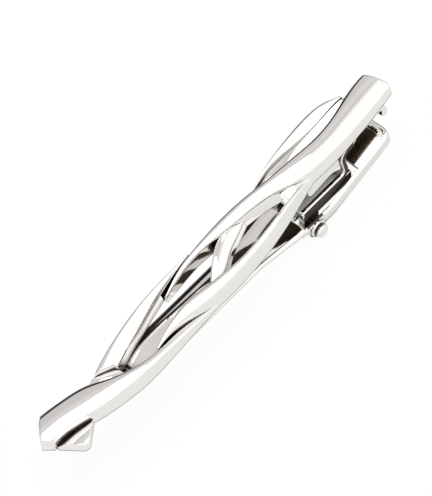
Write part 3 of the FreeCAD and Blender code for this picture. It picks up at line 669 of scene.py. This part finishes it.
def ribbon(stations, face, start=None, end=None, corner=0.0, foot=0.0, flare=0.0):
    """Surface of one ribbon: the section at x for rows between its two end lines.

    A row stands at x = start(y) + r a + (length - 2 r) b + r c. The ends drop by a quarter round of
    radius r and then straight to the back, where the start stands out by its foot and flare.
    """
    first, last = stations[0, 0], stations[-1, 0]
    start = line_through(start or [(first, 0.0)])
    end = line_through(end or [(last, 0.0)])
    turn = quarter(ROUND_STEPS)[:, None]
    run = np.linspace(0.0, 1.0, int(math.ceil((last - first) / face.row_gap)))[1:-1, None]
    none, still = np.zeros_like(turn), np.zeros_like(run)
    a = np.concatenate([1 - np.cos(turn), still + 1, none + 1])
    b = np.concatenate([none, run, none + 1])
    c = np.concatenate([none, still, np.sin(turn)])
    fall = np.concatenate([1 - np.sin(turn), still, 1 - np.cos(turn)])
    x = first + (last - first) * b + np.zeros(len(COLUMN_PLACES))
    for _ in range(SETTLING_STEPS):
        across, above = section(stations, x, face)
        side = np.minimum(across - across[:, :1], across[:, -1:] - across)
        left = start(across)
        length = np.maximum(end(across) - corner_cut(side, corner) - left, 0.0)
        radius = np.minimum(face.end_round, END_SHARE * length)
        x = left + radius * a + (length - 2 * radius) * b + radius * c
    across, above = section(stations, x, face)
    above = above * (1 - fall * radius / above.max(axis=1, keepdims=True))
    skin = points(x + FACE_TIP, across, above)
    flat, half = np.array([1.0, 1.0, 0.0]), np.array([1.0, 1.0, 0.5])
    to_far = (across[:1] - across[0, 0]) / (across[0, -1] - across[0, 0])
    out = points(-foot - flare * to_far, flare * to_far, 0.0)
    return np.concatenate([skin[:1] * flat + out, skin[:1] * half + out / 2, skin,
                           skin[-1:] * half, skin[-1:] * flat])


def outlines(*pairs):
    """Corners (across, height) of each row's outline."""
    return np.stack([np.stack(np.broadcast_arrays(*pair), axis=-1) for pair in pairs], axis=-2)


def bar_outlines(low_y, high_y, low_z, high_z):
    """Four corners of a rectangle for each row."""
    low_y, high_y, low_z, high_z = np.broadcast_arrays(low_y, high_y, low_z, high_z)
    return outlines((low_y, low_z), (high_y, low_z), (high_y, high_z), (low_y, high_z))


def rounded(corners, radii):
    """Closed outlines with their corners rounded by quadratic curves that start a radius before."""
    before = corners - np.roll(corners, 1, axis=-2)
    after = np.roll(corners, -1, axis=-2) - corners
    before_length = np.linalg.norm(before, axis=-1)
    after_length = np.linalg.norm(after, axis=-1)
    reach = np.minimum(radii, CORNER_SHARE * np.minimum(before_length, after_length))
    enter = corners - before * (reach / np.maximum(before_length, TINY))[..., None]
    leave = corners + after * (reach / np.maximum(after_length, TINY))[..., None]
    t = np.linspace(0.0, 1.0, CORNER_STEPS)[:, None]
    rings = quadratic(enter[..., None, :], corners[..., None, :], leave[..., None, :], t)
    return rings.reshape(*corners.shape[:-2], -1, 2)


def bent_line(corners, radii):
    """Line of straight runs joined by arcs, as rows of length, x, z and slope angle."""
    corners = np.array(corners, dtype=float)
    steps = np.diff(corners, axis=0)
    angles = np.arctan2(steps[:, 1], steps[:, 0])
    runs = [np.array([[*corners[0], angles[0]]])]
    for corner, before, after, radius in zip(corners[1:-1], angles[:-1], angles[1:], radii):
        turn = (after - before + math.pi) % (2 * math.pi) - math.pi
        setback = radius * math.tan(abs(turn) / 2)
        enter = corner - setback * np.array([math.cos(before), math.sin(before)])
        swept = before + turn * np.linspace(0.0, 1.0, ARC_STEPS)
        reach = math.copysign(radius, turn)
        arc_x = enter[0] + reach * (np.sin(swept) - math.sin(before))
        arc_z = enter[1] - reach * (np.cos(swept) - math.cos(before))
        runs.append(np.stack([arc_x, arc_z, swept], axis=1))
    runs.append(np.array([[*corners[-1], runs[-1][-1, 2]]]))
    line = np.concatenate(runs)
    return np.column_stack([lengths_along(line[:, :2]), line])


def bend(flat, line):
    """Lays flat points (length, across, height) along a bent line: the height is square to it."""
    length, across, height = np.moveaxis(flat, -1, 0)
    x, z, angle = (np.interp(length, line[:, 0], line[:, column]) for column in (1, 2, 3))
    return points(x - np.sin(angle) * height, across, z + np.cos(angle) * height)


def sheet_rows(places, corners, radii):
    """Rounded outlines (across, height) set at places along a sheet, as flat rows."""
    rings = rounded(corners, radii)
    return points(places[:, None], rings[..., 0], rings[..., 1])


def end_softness(places, radius):
    """Inset of each row near both ends of a run, so that its end edges are round."""
    return corner_cut(np.minimum(places - places[0], places[-1] - places), radius)


def run_places(first, last, gap, soft, *extra):
    """Row places between two ends: close together at the ends, then a regular gap apart."""
    close = soft * (1 - np.cos(quarter(CORNER_STEPS)))
    regular = np.linspace(first, last, int(math.ceil((last - first) / gap)) + 1)
    places = np.unique(np.round(np.concatenate([first + close, regular, last - close, *extra]), 5))
    return places[(places >= first) & (places <= last)]


def washer(reach, hole, low_y, high_y, edge):
    """Plate round the rivet: a rounded rectangle from the hole to the reach, carried round."""
    angle = around(CIRCLE_STEPS)
    corners = bar_outlines(hole, np.broadcast_to(reach, angle.shape), low_y, high_y)
    radius, across = np.moveaxis(rounded(corners, edge), -1, 0)
    return points(PIN[0] + radius * np.cos(angle)[:, None], across,
                  PIN[2] + radius * np.sin(angle)[:, None])


def shell(rows, closed=False):
    """Points and faces of a tube of closed rings, with end caps or joined end to start."""
    count, ring = rows.shape[:2]
    index = np.arange(count * ring).reshape(count, ring)
    near = index if closed else index[:-1]
    far = np.roll(index, -1, axis=0) if closed else index[1:]
    quads = np.stack([near, np.roll(near, -1, axis=1), np.roll(far, -1, axis=1), far], axis=-1)
    spots = rows.reshape(-1, 3)
    quads = quads.reshape(-1, 4)
    a, b, c, d = (spots[quads[:, i]] for i in range(4))
    volume = np.einsum("ij,ij->", a, np.cross(b, c)) + np.einsum("ij,ij->", a, np.cross(c, d))
    caps = [] if closed else [index[0][::-1], index[-1]]
    if volume < 0:
        quads = quads[:, ::-1]
        caps = [cap[::-1] for cap in caps]
    return spots, quads.tolist() + [cap.tolist() for cap in caps]


def placed(name, data):
    """New object of the scene."""
    thing = bpy.data.objects.new(name, data)
    bpy.context.scene.collection.objects.link(thing)
    return thing


def solid(rows, closed=False):
    """Temporary object of one closed surface, in metres, with its seams and poles merged."""
    spots, faces = shell(rows, closed)
    mesh = bpy.data.meshes.new("form")
    mesh.from_pydata(spots * MM, [], faces)
    work = bmesh.new()
    work.from_mesh(mesh)
    bmesh.ops.remove_doubles(work, verts=work.verts, dist=MERGE_DISTANCE)
    bmesh.ops.dissolve_degenerate(work, edges=work.edges, dist=MERGE_DISTANCE / 10)
    work.to_mesh(mesh)
    work.free()
    return placed("form", mesh)


def joined(name, solids, crease=SHEET_CREASE):
    """One skin of several overlapping solids, smooth except along edges sharper than the crease."""
    main, *others = solids
    for other in others:
        union = main.modifiers.new("Join", "BOOLEAN")
        union.operation = "UNION"
        union.solver = "MANIFOLD"
        union.object = other
    bpy.context.view_layer.update()
    graph = bpy.context.evaluated_depsgraph_get()
    mesh = bpy.data.meshes.new_from_object(main.evaluated_get(graph))
    for thing in solids:
        bpy.data.meshes.remove(thing.data)
    mesh.name = name
    mesh.shade_smooth()
    mesh.set_sharp_from_angle(angle=math.radians(crease))
    piece = placed(name, mesh)
    weights = piece.modifiers.new("Flat faces stay flat", "WEIGHTED_NORMAL")
    weights.keep_sharp = True
    weights.weight = FLAT_WEIGHT
    return piece


def dress(piece, material, body, node):
    """Gives a piece its material and the body it rides on, and hides the CAD node that it stands for.
    """
    piece.data.materials.clear()
    piece.data.materials.append(material)
    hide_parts(node)
    if body:
        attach(piece, body)


def metal(name, painted_shade_colour, colour, roughness, grain, depth, reach, back=None, under=None, satin=None,
          sides=None):
    """Plated metal: fine polishing lines, a soft unevenness, and painted shade deep in the recesses:
    where little sky reaches, the colour runs towards the near-black shade colour and the metal is
    rougher.

    Metal below the heights back, and metal above the heights under that faces down, is painted with the
    same shade.
    Metal below the heights satin that faces up has a matt finish. Side walls farther than sides
    from the middle are painted with the same shade.
    """
    material = bpy.data.materials.new(name)
    wire = Wire.fresh(material)
    place = wire.node("ShaderNodeTexCoord", output="Object")
    facing = wire.node("ShaderNodeNewGeometry", output="Normal")
    height, upward, across = place.part("Z"), facing.part("Z"), abs(place.part("Y"))
    lines = wire.node("ShaderNodeMapping", {}, {"Vector": place, "Scale": grain})
    fine = wire.node("ShaderNodeTexNoise", {}, {"Vector": lines, "Scale": 1.0, "Detail": FINE_DETAIL})
    cloud = wire.node("ShaderNodeTexNoise", {}, {"Vector": place, "Scale": CLOUDS,
                                                 "Detail": CLOUD_DETAIL})
    # Painted shade: where little sky reaches, the colour is blended towards the near-black shade colour
    # and the metal grows rougher.
    open_sky = wire.node("ShaderNodeAmbientOcclusion", {"samples": SKY_SAMPLES}, {"Distance": reach},
                         "AO")
    shaded = (1 - open_sky).ramp(*SHADE_IN_RECESS) * (SHADE_LEAST + SHADE_CLOUDS * cloud)
    # Painted shade: metal below the heights back, the back of the face, takes the near-black shade
    # colour.
    if back:
        shaded = shaded.most(1 - height.ramp(*back))
    # Painted shade: side walls farther than sides from the middle, facing across, take the near-black
    # shade colour.
    if sides:
        shaded = shaded.most(across.ramp(*sides) * abs(facing.part("Y")).ramp(*SIDE_FACING))
    # Painted shade: metal above the heights under that faces down takes the near-black shade colour.
    if under:
        shaded = shaded.most((1 - upward.ramp(*DOWN_FACING)) * height.ramp(*under))
    tone = cloud.ramp(*CLOUD_EDGES).blend([channel * CLOUD_TONE for channel in colour], colour)
    rough = roughness * (ROUGH_LEAST + ROUGH_CLOUDS * cloud)
    rough = rough + ROUGH_MARKS * fine + ROUGH_IN_SHADE * shaded
    mirror = 1.0
    if satin:
        matt = (1 - height.ramp(*satin)) * upward.ramp(*UP_FACING) * (1 - across.ramp(*MATT_EDGE))
        tone = matt.blend(tone, [channel * MATT_TONE for channel in colour])
        rough = rough + ROUGH_MATT * matt
        mirror = 1 - MATT_LOSS * matt
    bump = wire.node("ShaderNodeBump", {}, {"Height": fine, "Strength": depth, "Distance": MARK_DEPTH})
    shader = wire.node("ShaderNodeBsdfPrincipled", {}, {
        "Base Color": shaded.blend(tone, painted_shade_colour), "Roughness": rough, "Metallic": mirror,
        "Normal": bump})
    wire.node("ShaderNodeOutputMaterial", {}, {"Surface": shader})
    return material


class Mechanism:
    """Places of the hinge, shared by the lever, the bracket and the spring, in millimetres."""

    def __init__(self, lever):
        self.jaw_back = np.array([JAW_TIP + lever.jaw_length, -lever.jaw_gap])
        self.pin = PIN[[0, 2]]
        run, drop = self.pin - self.jaw_back
        self.slope = math.atan2(-drop, run) - math.asin(lever.rise / math.hypot(run, drop))
        self.along = np.array([math.cos(self.slope), -math.sin(self.slope)])
        self.above = np.array([math.sin(self.slope), math.cos(self.slope)])

    def at_pin(self, along, above):
        """Point at a distance along the arm's slope from the rivet, and square above it."""
        return self.pin + along * self.along + above * self.above

    def ear(self, radius, top):
        """Reach of an ear round the rivet: square up to its top, and round below the axis."""
        turned = around(CIRCLE_STEPS) + self.slope
        upward, sideways = np.sin(turned), np.abs(np.cos(turned))
        square = np.minimum(radius / np.maximum(sideways, TINY), top / np.maximum(upward, TINY))
        return np.where(upward > 0, square, radius)


class CLIP_OT_ribbon_face(Operator):
    """Interlaced domed ribbons of the front, joined in one casting with a flat back"""
    bl_idname = "tie_clip.ribbon_face"
    bl_label = "Ribbon face"

    def execute(self, context):
        face = Lengths(context.scene.tie_clip_face)
        finish = context.scene.tie_clip_finish
        plain = (NEAR_BOW, FAR_LEAF, CROSSBAR, LEAF_WEB, NEAR_WEB, FAR_WEB)
        surfaces = [
            ribbon(RIGHT_RIBBON, face, end=RIGHT_END, corner=face.corner_round),
            ribbon(LEFT_RIBBON, face, LEFT_END, foot=face.end_foot, flare=face.end_flare),
            ribbon(HEEL_RIBBON, face, HEEL_START, HEEL_BACK, foot=face.end_foot),
            ribbon(FAR_BOW, face, FAR_BOW_START),
            *(ribbon(stations, face) for stations in plain),
        ]
        piece = joined("ribbon_face", [solid(rows) for rows in surfaces])
        # The back of the face, below the heights given as back, is painted as shade.
        plate = metal("mirror_plate", finish.painted_shade_colour, finish.plate, finish.polish, POLISHED,
                      depth=0.02, reach=0.0010, back=SHADED_BACK)
        dress(piece, plate, FACE_BODY, "front_face")
        return {"FINISHED"}


def lever_line(lever, hinge):
    """Top of the lever's sheet: flat jaw, straight arm, knee past the rivet, tail to its end."""
    knee = hinge.at_pin(lever.knee, lever.rise)
    end = (PIN[0] + lever.tab_reach, knee[1] + lever.tail_rise)
    return bent_line([(JAW_TIP, -lever.jaw_gap), hinge.jaw_back, knee, end],
                     [lever.jaw_bend, lever.knee_bend])


def length_at(line, past):
    """Length along the lever at a distance past the rivet along the face."""
    return np.interp(PIN[0] + past, line[:, 1], line[:, 0])


def lever_arm(lever, line):
    """Channel with its edges turned down, which widens over the shoulder."""
    soft, pitch, width = lever.edge, lever.tooth_pitch, lever.tooth_width
    last = length_at(line, -lever.window_back)
    wide = length_at(line, -lever.window_back - lever.rail_lead)
    narrow = length_at(line, -lever.window_back - lever.rail_lead - lever.shoulder)
    notch = np.arange(lever.group.teeth) * pitch + width
    nose = lever.jaw_corner * (1 - np.cos(quarter(TURN_STEPS)))
    places = run_places(0.0, last, ARM_ROW, soft, notch - width / 2, notch, notch + width / 2, nose)
    inset = end_softness(places, soft)
    spread = np.clip((places - narrow) / (wide - narrow), 0.0, 1.0)
    half = lever.arm_width / 2 + (lever.half_width - lever.arm_width / 2) * spread
    half = half - corner_cut(places, lever.jaw_corner) - inset
    inner, low = half - lever.sheet, inset - lever.flange
    nearest = np.abs(places[:, None] - notch).min(axis=1)
    top = -lever.tooth_depth * np.clip(1 - nearest / (width / 2), 0.0, 1.0) - inset
    steps = np.linspace(1.0, 0.0, BEND_STEPS)
    near = [(lever.near_bend * (1 - step) - half, top - lever.near_fall * step ** 2)
            for step in steps]
    far = [(half - lever.far_bend * (1 - step), top - lever.far_fall * step ** 2)
           for step in steps[::-1]]
    corners = outlines((-half, low), *near, *far, (half, low - FAR_DEEPER), (inner, low - FAR_DEEPER),
                       (inner, -lever.sheet - FAR_THICKER), (-inner, -lever.sheet - NEAR_THICKER),
                       (-inner, low))
    radii = np.full(corners.shape[-2], soft)
    # The points inside the two bends stay as they are.
    radii[2:2 * BEND_STEPS] = 0.0
    return sheet_rows(places, corners, radii)


def lever_rim(lever, line):
    """Rail round the window and the tab: an upright band, deeper from the rivet on, along a U."""
    sheet, soft = lever.sheet, lever.edge
    pin = length_at(line, 0.0)
    last = line[-1, 0] - sheet / 2
    side, radius = lever.half_width - sheet / 2, lever.tab_corner - sheet / 2
    first = length_at(line, -lever.window_back - sheet)
    straight = run_places(first, last - radius, RIM_ROW, soft)
    turn = quarter(RIM_STEPS)[1:]
    along = np.concatenate([straight, last - radius + radius * np.sin(turn)])
    across = np.concatenate([np.full_like(straight, side), side - radius + radius * np.cos(turn)])
    along = np.concatenate([along, along[::-1]])
    path = np.stack([along, np.concatenate([across, -across[::-1]])], axis=-1)
    heading = unit(np.gradient(path, axis=0))
    normal = np.stack([-heading[:, 1], heading[:, 0]], axis=-1)
    low = -np.interp(along, [pin - RAIL_EASE, pin],
                     [lever.rail_sink + lever.flange, lever.rail_depth])
    corners = bar_outlines(-sheet / 2, sheet / 2, low, -lever.rail_sink)
    # The outer top edge lies level with the tab's sides.
    corners[:, 2, 1] = -lever.tab_crown
    rings = rounded(corners, np.array([soft, soft, TAB_EDGE, soft]))
    plan = path[:, None, :] + normal[:, None, :] * rings[..., :1]
    return np.concatenate([plan, rings[..., 1:]], axis=-1)


def lever_tab(lever, line):
    """Crowned tab: its top lies crown (y / w)2 + nose fall below the line, its underside is flat."""
    soft, crown, width, nose = lever.edge, lever.tab_crown, lever.half_width, lever.tab_nose
    last = line[-1, 0] - soft
    turn = last - lever.tab_corner * (1 - np.cos(quarter(TURN_STEPS)))
    places = run_places(length_at(line, lever.tab_start), last, TAB_ROW, soft, turn)
    half = width - soft - corner_cut(last - places, lever.tab_corner)
    across = half[:, None] * np.linspace(-1.0, 1.0, TAB_COLUMNS)
    fall = NOSE_SHARE * np.clip((places - last + nose) / nose, 0.0, 1.0) ** 2
    top = -crown * ((across / width) ** 2 + fall[:, None]) - end_softness(places, soft)[:, None]
    under = np.full((len(places), 2), -crown - lever.sheet)
    across = np.concatenate([across, across[:, [-1, 0]]], axis=1)
    return points(places[:, None], across, np.concatenate([top, under], axis=1))


def lever_ears(lever, hinge):
    """Two ears round the rivet, each with a raised collar."""
    ear = hinge.ear(lever.ear, lever.rise - lever.rail_sink)
    for side in SIDES:
        inner, outer = side * (lever.half_width - lever.sheet), side * lever.half_width
        tip = outer + side * lever.boss
        collar = washer(lever.boss_radius, lever.bore, *sorted((inner, tip)), COLLAR_EDGE)
        yield solid(washer(ear, lever.bore, *sorted((inner, outer)), lever.edge), True)
        yield solid(collar, True)


class CLIP_OT_jaw_lever(Operator):
    """Pressed lever: toothed jaw, channel arm, ears with collars, side rails and crowned thumb tab"""
    bl_idname = "tie_clip.jaw_lever"
    bl_label = "Jaw lever"

    def execute(self, context):
        lever = Lengths(context.scene.tie_clip_lever)
        finish = context.scene.tie_clip_finish
        hinge = Mechanism(lever)
        line = lever_line(lever, hinge)
        solids = [solid(bend(form(lever, line), line)) for form in (lever_arm, lever_rim, lever_tab)]
        piece = joined("jaw_pressing", [*solids, *lever_ears(lever, hinge)])
        plate = metal("lever_plate", finish.painted_shade_colour, finish.pressing, finish.drawn, ROLLED,
                      depth=0.02, reach=0.0022)
        dress(piece, plate, LEVER_BODY, "jaw_lever")
        return {"FINISHED"}


def bracket_strip(bracket, hinge):
    """Sheet carried along its bent middle line, narrowing into the foot."""
    thick, soft = bracket.sheet, bracket.strip_edge
    begin = hinge.at_pin(-bracket.ear, bracket.strip_rise + thick / 2)
    post, curl = PIN[0] + bracket.post, PIN[0] + bracket.curl_reach
    ahead = (post - begin[0]) / hinge.along[0]
    corner = begin + ahead * hinge.along
    line = bent_line([begin, corner, (post, -thick / 2), (curl, -thick / 2),
                      (curl - thick / 2, -thick / 2 - bracket.curl_drop)],
                     [bracket.corner_bend, bracket.foot_bend, bracket.curl_bend])
    places = run_places(0.0, line[-1, 0], STRIP_ROW, soft)
    inset = end_softness(places, soft)
    foot = ahead + abs(corner[1]) + FOOT_LEAD
    taper = np.clip((places - foot) / bracket.foot_neck, 0.0, 1.0)
    ease = taper ** 2 * (3 - 2 * taper)
    wide, narrow, shift = bracket.width / 2, bracket.foot_width / 2, -bracket.foot_shift
    low = -wide + (shift - narrow + wide) * ease + inset
    high = wide + (shift + narrow - wide) * ease - inset
    half = thick / 2 - inset
    return bend(sheet_rows(places, bar_outlines(low, high, -half, half), soft), line)


def bracket_flanges(bracket, hinge):
    """Two walls that turn down from the strip's sides, from the ears to the post."""
    thick, soft, wide = bracket.sheet, bracket.edge, bracket.width / 2
    places = run_places(0.0, bracket.post + thick / 4, FLANGE_ROW, soft)
    inset = end_softness(places, soft)
    low, top = bracket.strip_rise - bracket.flange, bracket.strip_rise + thick / 2
    for side in SIDES:
        near, far = sorted((side * wide, side * (wide - thick)))
        corners = bar_outlines(near + inset, far - inset, low + inset, top - inset)
        along, across, height = np.moveaxis(sheet_rows(places, corners, soft), -1, 0)
        x, z = np.moveaxis(hinge.at_pin(along[..., None], height[..., None]), -1, 0)
        yield solid(points(x, across, z))


def bracket_cheek(bracket):
    """Near cheek under the face: its lower edge is level, then falls with the run squared."""
    length, soft = bracket.cheek_length, bracket.edge
    post = PIN[0] + bracket.post
    places = run_places(post - length, post, CHEEK_ROW, soft)
    run = np.clip(1 - (post - places) / (CHEEK_FALL_SHARE * length), 0.0, 1.0)
    low = -bracket.cheek_drop * (1 + CHEEK_FALL * run ** 2)
    low = low + corner_cut(places - places[0], CHEEK_CORNER)
    near = -bracket.cheek_near
    return sheet_rows(places, bar_outlines(near, near + bracket.cheek_sheet, low, 0.0), soft)


def bracket_ears(bracket, hinge):
    """Two ears that come down from the strip round the rivet."""
    ear = hinge.ear(bracket.ear, bracket.strip_rise + bracket.sheet / 2)
    wide = bracket.width / 2
    for side in SIDES:
        low, high = sorted((side * wide, side * (wide - bracket.sheet)))
        yield solid(washer(ear, bracket.bore, low, high, bracket.edge), True)


class CLIP_OT_hinge_bracket(Operator):
    """Bent bracket: strip with side flanges and two ears, post, near cheek, foot and end curl"""
    bl_idname = "tie_clip.hinge_bracket"
    bl_label = "Hinge bracket"

    def execute(self, context):
        bracket = Lengths(context.scene.tie_clip_bracket)
        finish = context.scene.tie_clip_finish
        hinge = Mechanism(Lengths(context.scene.tie_clip_lever))
        solids = [solid(bracket_strip(bracket, hinge)), solid(bracket_cheek(bracket)),
                  *bracket_flanges(bracket, hinge), *bracket_ears(bracket, hinge)]
        piece = joined("bracket_pressing", solids)
        # The bracket's outer side walls and its downward faces under the foot are painted as shade.
        plate = metal("bracket_plate", finish.painted_shade_colour, finish.pressing, finish.drawn, ROLLED,
                      depth=0.03, reach=0.0022, under=SHADED_UNDERSIDE, satin=STRIP_TOP,
                      sides=SHADED_SIDES)
        dress(piece, plate, FACE_BODY, "hinge_bracket")
        return {"FINISHED"}


def rivet_form(rivet):
    """Profile turned round the hinge axis: dome, rim, neck, shank, rim, flatter dome."""
    turn = quarter(TURN_STEPS)
    shank, grip, head, tail = rivet.shank, rivet.grip, rivet.head, rivet.tail
    neck, rest = rivet.neck, rivet.grip + rivet.neck_gap
    radius = np.concatenate([head * np.sin(turn), [head - RIM_ROUND, neck, neck, shank, shank],
                             [tail - RIM_ROUND], tail * np.cos(turn)])
    crown = grip + rivet.head_height - rest - RIM
    head_y = -rest - RIM - crown * np.cos(turn)
    tail_y = grip + RIM + (rivet.tail_height - RIM) * np.sin(turn)
    across = np.concatenate([head_y, [-rest, -rest, -grip, -grip, grip, grip], tail_y])
    angle = around(PIN_STEPS)
    return points(PIN[0] + radius[:, None] * np.cos(angle), across[:, None],
                  PIN[2] + radius[:, None] * np.sin(angle))


class CLIP_OT_pivot_rivet(Operator):
    """Rivet through the ears, with a domed head on a neck and a flatter closed end"""
    bl_idname = "tie_clip.pivot_rivet"
    bl_label = "Pivot rivet"

    def execute(self, context):
        finish = context.scene.tie_clip_finish
        pin = rivet_form(Lengths(context.scene.tie_clip_rivet))
        piece = joined("rivet_pin", [solid(pin)], ROUND_CREASE)
        plate = metal("rivet_plate", finish.painted_shade_colour, finish.plate, finish.polish, TURNED,
                      depth=0.03, reach=0.0012)
        dress(piece, plate, FACE_BODY, "pivot_rivet")
        return {"FINISHED"}


def spring_form(rivet, hinge):
    """Round wire along leg, coil and leg: the coil's place is pin + r (sin a, cos a)."""
    turns = rivet.group.turns
    u = np.linspace(0.0, 1.0, COIL_STEPS * turns + 1)
    angle = hinge.slope + (2 * math.pi * turns - COIL_OPEN) * u
    climb = u - COIL_EASE * np.sin(2 * math.pi * u) / (2 * math.pi)
    coil = points(PIN[0] + rivet.coil * np.sin(angle), rivet.coil_half * (1 - 2 * climb),
                  PIN[2] + rivet.coil * np.cos(angle))
    legs = np.linspace(0.0, 1.0, LEG_STEPS)[1:, None]
    out = np.array([-math.cos(angle[0]), 0.0, math.sin(angle[0])])
    on = np.array([math.cos(angle[-1]), 0.0, -math.sin(angle[-1])])
    path = np.concatenate([coil[0] + out * legs[::-1] * rivet.arm_leg, coil,
                           coil[-1] + on * legs * rivet.strip_leg])
    heading = unit(np.gradient(path, axis=0))
    side = unit(np.cross(heading, [0.0, 1.0, 0.0]))
    up = np.cross(side, heading)
    radius = rivet.wire - WIRE_TIP * end_softness(lengths_along(path), rivet.wire)
    turn = around(WIRE_STEPS)[:, None]
    ring = np.cos(turn) * side[:, None, :] + np.sin(turn) * up[:, None, :]
    return path[:, None, :] + radius[:, None, None] * ring


class CLIP_OT_torsion_spring(Operator):
    """Open coil of wire round the rivet, one leg under the arm and one under the strip"""
    bl_idname = "tie_clip.torsion_spring"
    bl_label = "Torsion spring"

    def execute(self, context):
        rivet = Lengths(context.scene.tie_clip_rivet)
        finish = context.scene.tie_clip_finish
        hinge = Mechanism(Lengths(context.scene.tie_clip_lever))
        piece = joined("spring_wire_coil", [solid(spring_form(rivet, hinge))], ROUND_CREASE)
        steel = metal("drawn_wire", finish.painted_shade_colour, finish.steel, finish.spring, DRAWN,
                      depth=0.05, reach=0.0012)
        dress(piece, steel, None, "torsion_spring")
        half = rivet.group.coil_half
        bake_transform(piece)
        return {"FINISHED"}


def lay_floor(stage):
    """Round pale floor. The camera sees it white, with a trace of the clip's shadow."""
    ring, radius = around(CIRCLE_STEPS), stage.floor_radius
    middle = (FACE_TIP * MM - stage.floor_shift, stage.floor_reach - radius,
              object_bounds()[0].z - FLOOR_GAP)
    mesh = bpy.data.meshes.new("floor")
    mesh.from_pydata(middle + radius * points(np.cos(ring), np.sin(ring), 0.0), [],
                     [list(range(len(ring)))])
    placed("floor", mesh)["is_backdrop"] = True
    material = bpy.data.materials.new("pale_floor")
    wire = Wire.fresh(material)
    camera, glossy, through = (wire.node("ShaderNodeLightPath", output=f"Is {kind} Ray")
                               for kind in ("Camera", "Glossy", "Transmission"))
    place = wire.node("ShaderNodeTexCoord", output="Object")
    distance = wire.node("ShaderNodeVectorMath", {"operation": "DISTANCE"}, {0: place, 1: middle},
                         "Value")
    border = distance.ramp(*(radius - inset for inset in FLOOR_BORDER))
    white = camera * (SEEN_WHITE + SEEN_BORDER * border) + MIRRORED * glossy + MIRRORED * through
    matt = wire.node("ShaderNodeBsdfDiffuse", {}, {"Color": (*stage.floor, 1.0)})
    glow = wire.node("ShaderNodeEmission", {}, {"Color": camera.blend(stage.paper, WHITE)})
    mixed = wire.node("ShaderNodeMixShader", {}, {0: white, 1: matt, 2: glow})
    wire.node("ShaderNodeOutputMaterial", {}, {"Surface": mixed})
    mesh.materials.append(material)


def studio_light(stage):
    """White overhead, a grey screen on the far side, dark behind the table, pale near side."""
    world = bpy.data.worlds.new("studio")
    wire = Wire.fresh(world)
    way = wire.node("ShaderNodeTexCoord", output="Generated")
    along, across, up = (way.part(axis) for axis in "XYZ")
    far = (across + FAR_SLANT * along).ramp(*FAR_SIDE)
    band = up.ramp(*BAND_LOW) - up.ramp(*BAND_HIGH)
    bright = band.blend(stage.screen, [level + BAND_LIGHT for level in stage.screen])
    below = up.ramp(*GLOOM_FOOT).blend(stage.low, stage.gloom)
    back = up.ramp(*SCREEN_FOOT).blend(below, bright)
    front = up.ramp(*NEAR_RISE).blend(stage.near, stage.zenith)
    light = up.ramp(*OVERHEAD).blend(far.blend(front, back), stage.zenith)
    camera = wire.node("ShaderNodeLightPath", output="Is Camera Ray")
    glow = wire.node("ShaderNodeBackground", {}, {"Color": camera.blend(light, WHITE),
                                                  "Strength": WORLD_STRENGTH})
    wire.node("ShaderNodeOutputWorld", {}, {"Surface": glow})
    return world


def soft_lamp():
    """Large soft lamp overhead."""
    data = bpy.data.lights.new("soft_box", "AREA")
    data.shape = "DISK"
    data.size = LAMP_SIZE
    data.energy = LAMP_POWER
    placed("soft_box", data).location = LAMP_PLACE


def photo_camera(stage):
    """Camera above the near left side. Its turn stands the clip's length on the slope seen."""
    back = Vector(CAMERA_SIDE).normalized()
    rise = back.cross(Vector((1.0, 0.0, 0.0))).normalized()
    along = rise.cross(back)
    right = math.cos(stage.turn) * along - math.sin(stage.turn) * rise
    up = math.sin(stage.turn) * along + math.cos(stage.turn) * rise
    data = bpy.data.cameras.new("camera")
    data.sensor_width = SENSOR_WIDTH
    data.lens = stage.lens
    data.clip_start = CAMERA_NEAREST
    distance = stage.frame_height * stage.lens / SENSOR_WIDTH
    camera = placed("camera", data)
    axes = Matrix((right, up, back)).transposed()
    camera.matrix_world = Matrix.LocRotScale(Vector(CAMERA_TARGET) + distance * back, axes, None)
    return camera


class CLIP_OT_stage(Operator):
    """Pale floor, soft light from above and the camera of the photograph"""
    bl_idname = "tie_clip.stage"
    bl_label = "Stage"

    def execute(self, context):
        stage = context.scene.tie_clip_stage
        lay_floor(stage)
        context.scene.world = studio_light(stage)
        soft_lamp()
        context.scene.camera = photo_camera(stage)
        context.scene.view_settings.view_transform = "Standard"
        return {"FINISHED"}


class CLIP_PT_pieces(Panel):
    """Lists the pieces of the tie clip"""
    bl_label = "Tie clip"
    bl_idname = "CLIP_PT_pieces"
    bl_space_type = "VIEW_3D"
    bl_region_type = "UI"
    bl_category = "Tie clip"

    def draw(self, context):
        for operator in OPERATORS:
            self.layout.operator(operator.bl_idname)


OPERATORS = (CLIP_OT_ribbon_face, CLIP_OT_hinge_bracket, CLIP_OT_pivot_rivet,
             CLIP_OT_torsion_spring, CLIP_OT_jaw_lever, CLIP_OT_stage)
SETTINGS = {
    "tie_clip_face": FaceSettings,
    "tie_clip_lever": LeverSettings,
    "tie_clip_bracket": BracketSettings,
    "tie_clip_rivet": RivetSettings,
    "tie_clip_finish": FinishSettings,
    "tie_clip_stage": StageSettings,
}


def register():
    """Registers the settings, the operators and the panel."""
    for name, settings in SETTINGS.items():
        bpy.utils.register_class(settings)
        setattr(bpy.types.Scene, name, PointerProperty(type=settings))
    for entry in (*OPERATORS, CLIP_PT_pieces):
        bpy.utils.register_class(entry)


def unregister():
    """Takes back what register() added."""
    for entry in (CLIP_PT_pieces, *reversed(OPERATORS)):
        bpy.utils.unregister_class(entry)
    for name, settings in SETTINGS.items():
        delattr(bpy.types.Scene, name)
        bpy.utils.unregister_class(settings)


def main():
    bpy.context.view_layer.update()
    register()
    bpy.ops.tie_clip.ribbon_face()
    bpy.ops.tie_clip.hinge_bracket()
    bpy.ops.tie_clip.pivot_rivet()
    bpy.ops.tie_clip.torsion_spring()
    bpy.ops.tie_clip.jaw_lever()
    bpy.ops.tie_clip.stage()
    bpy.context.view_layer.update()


if __name__ == "__main__":
    main()
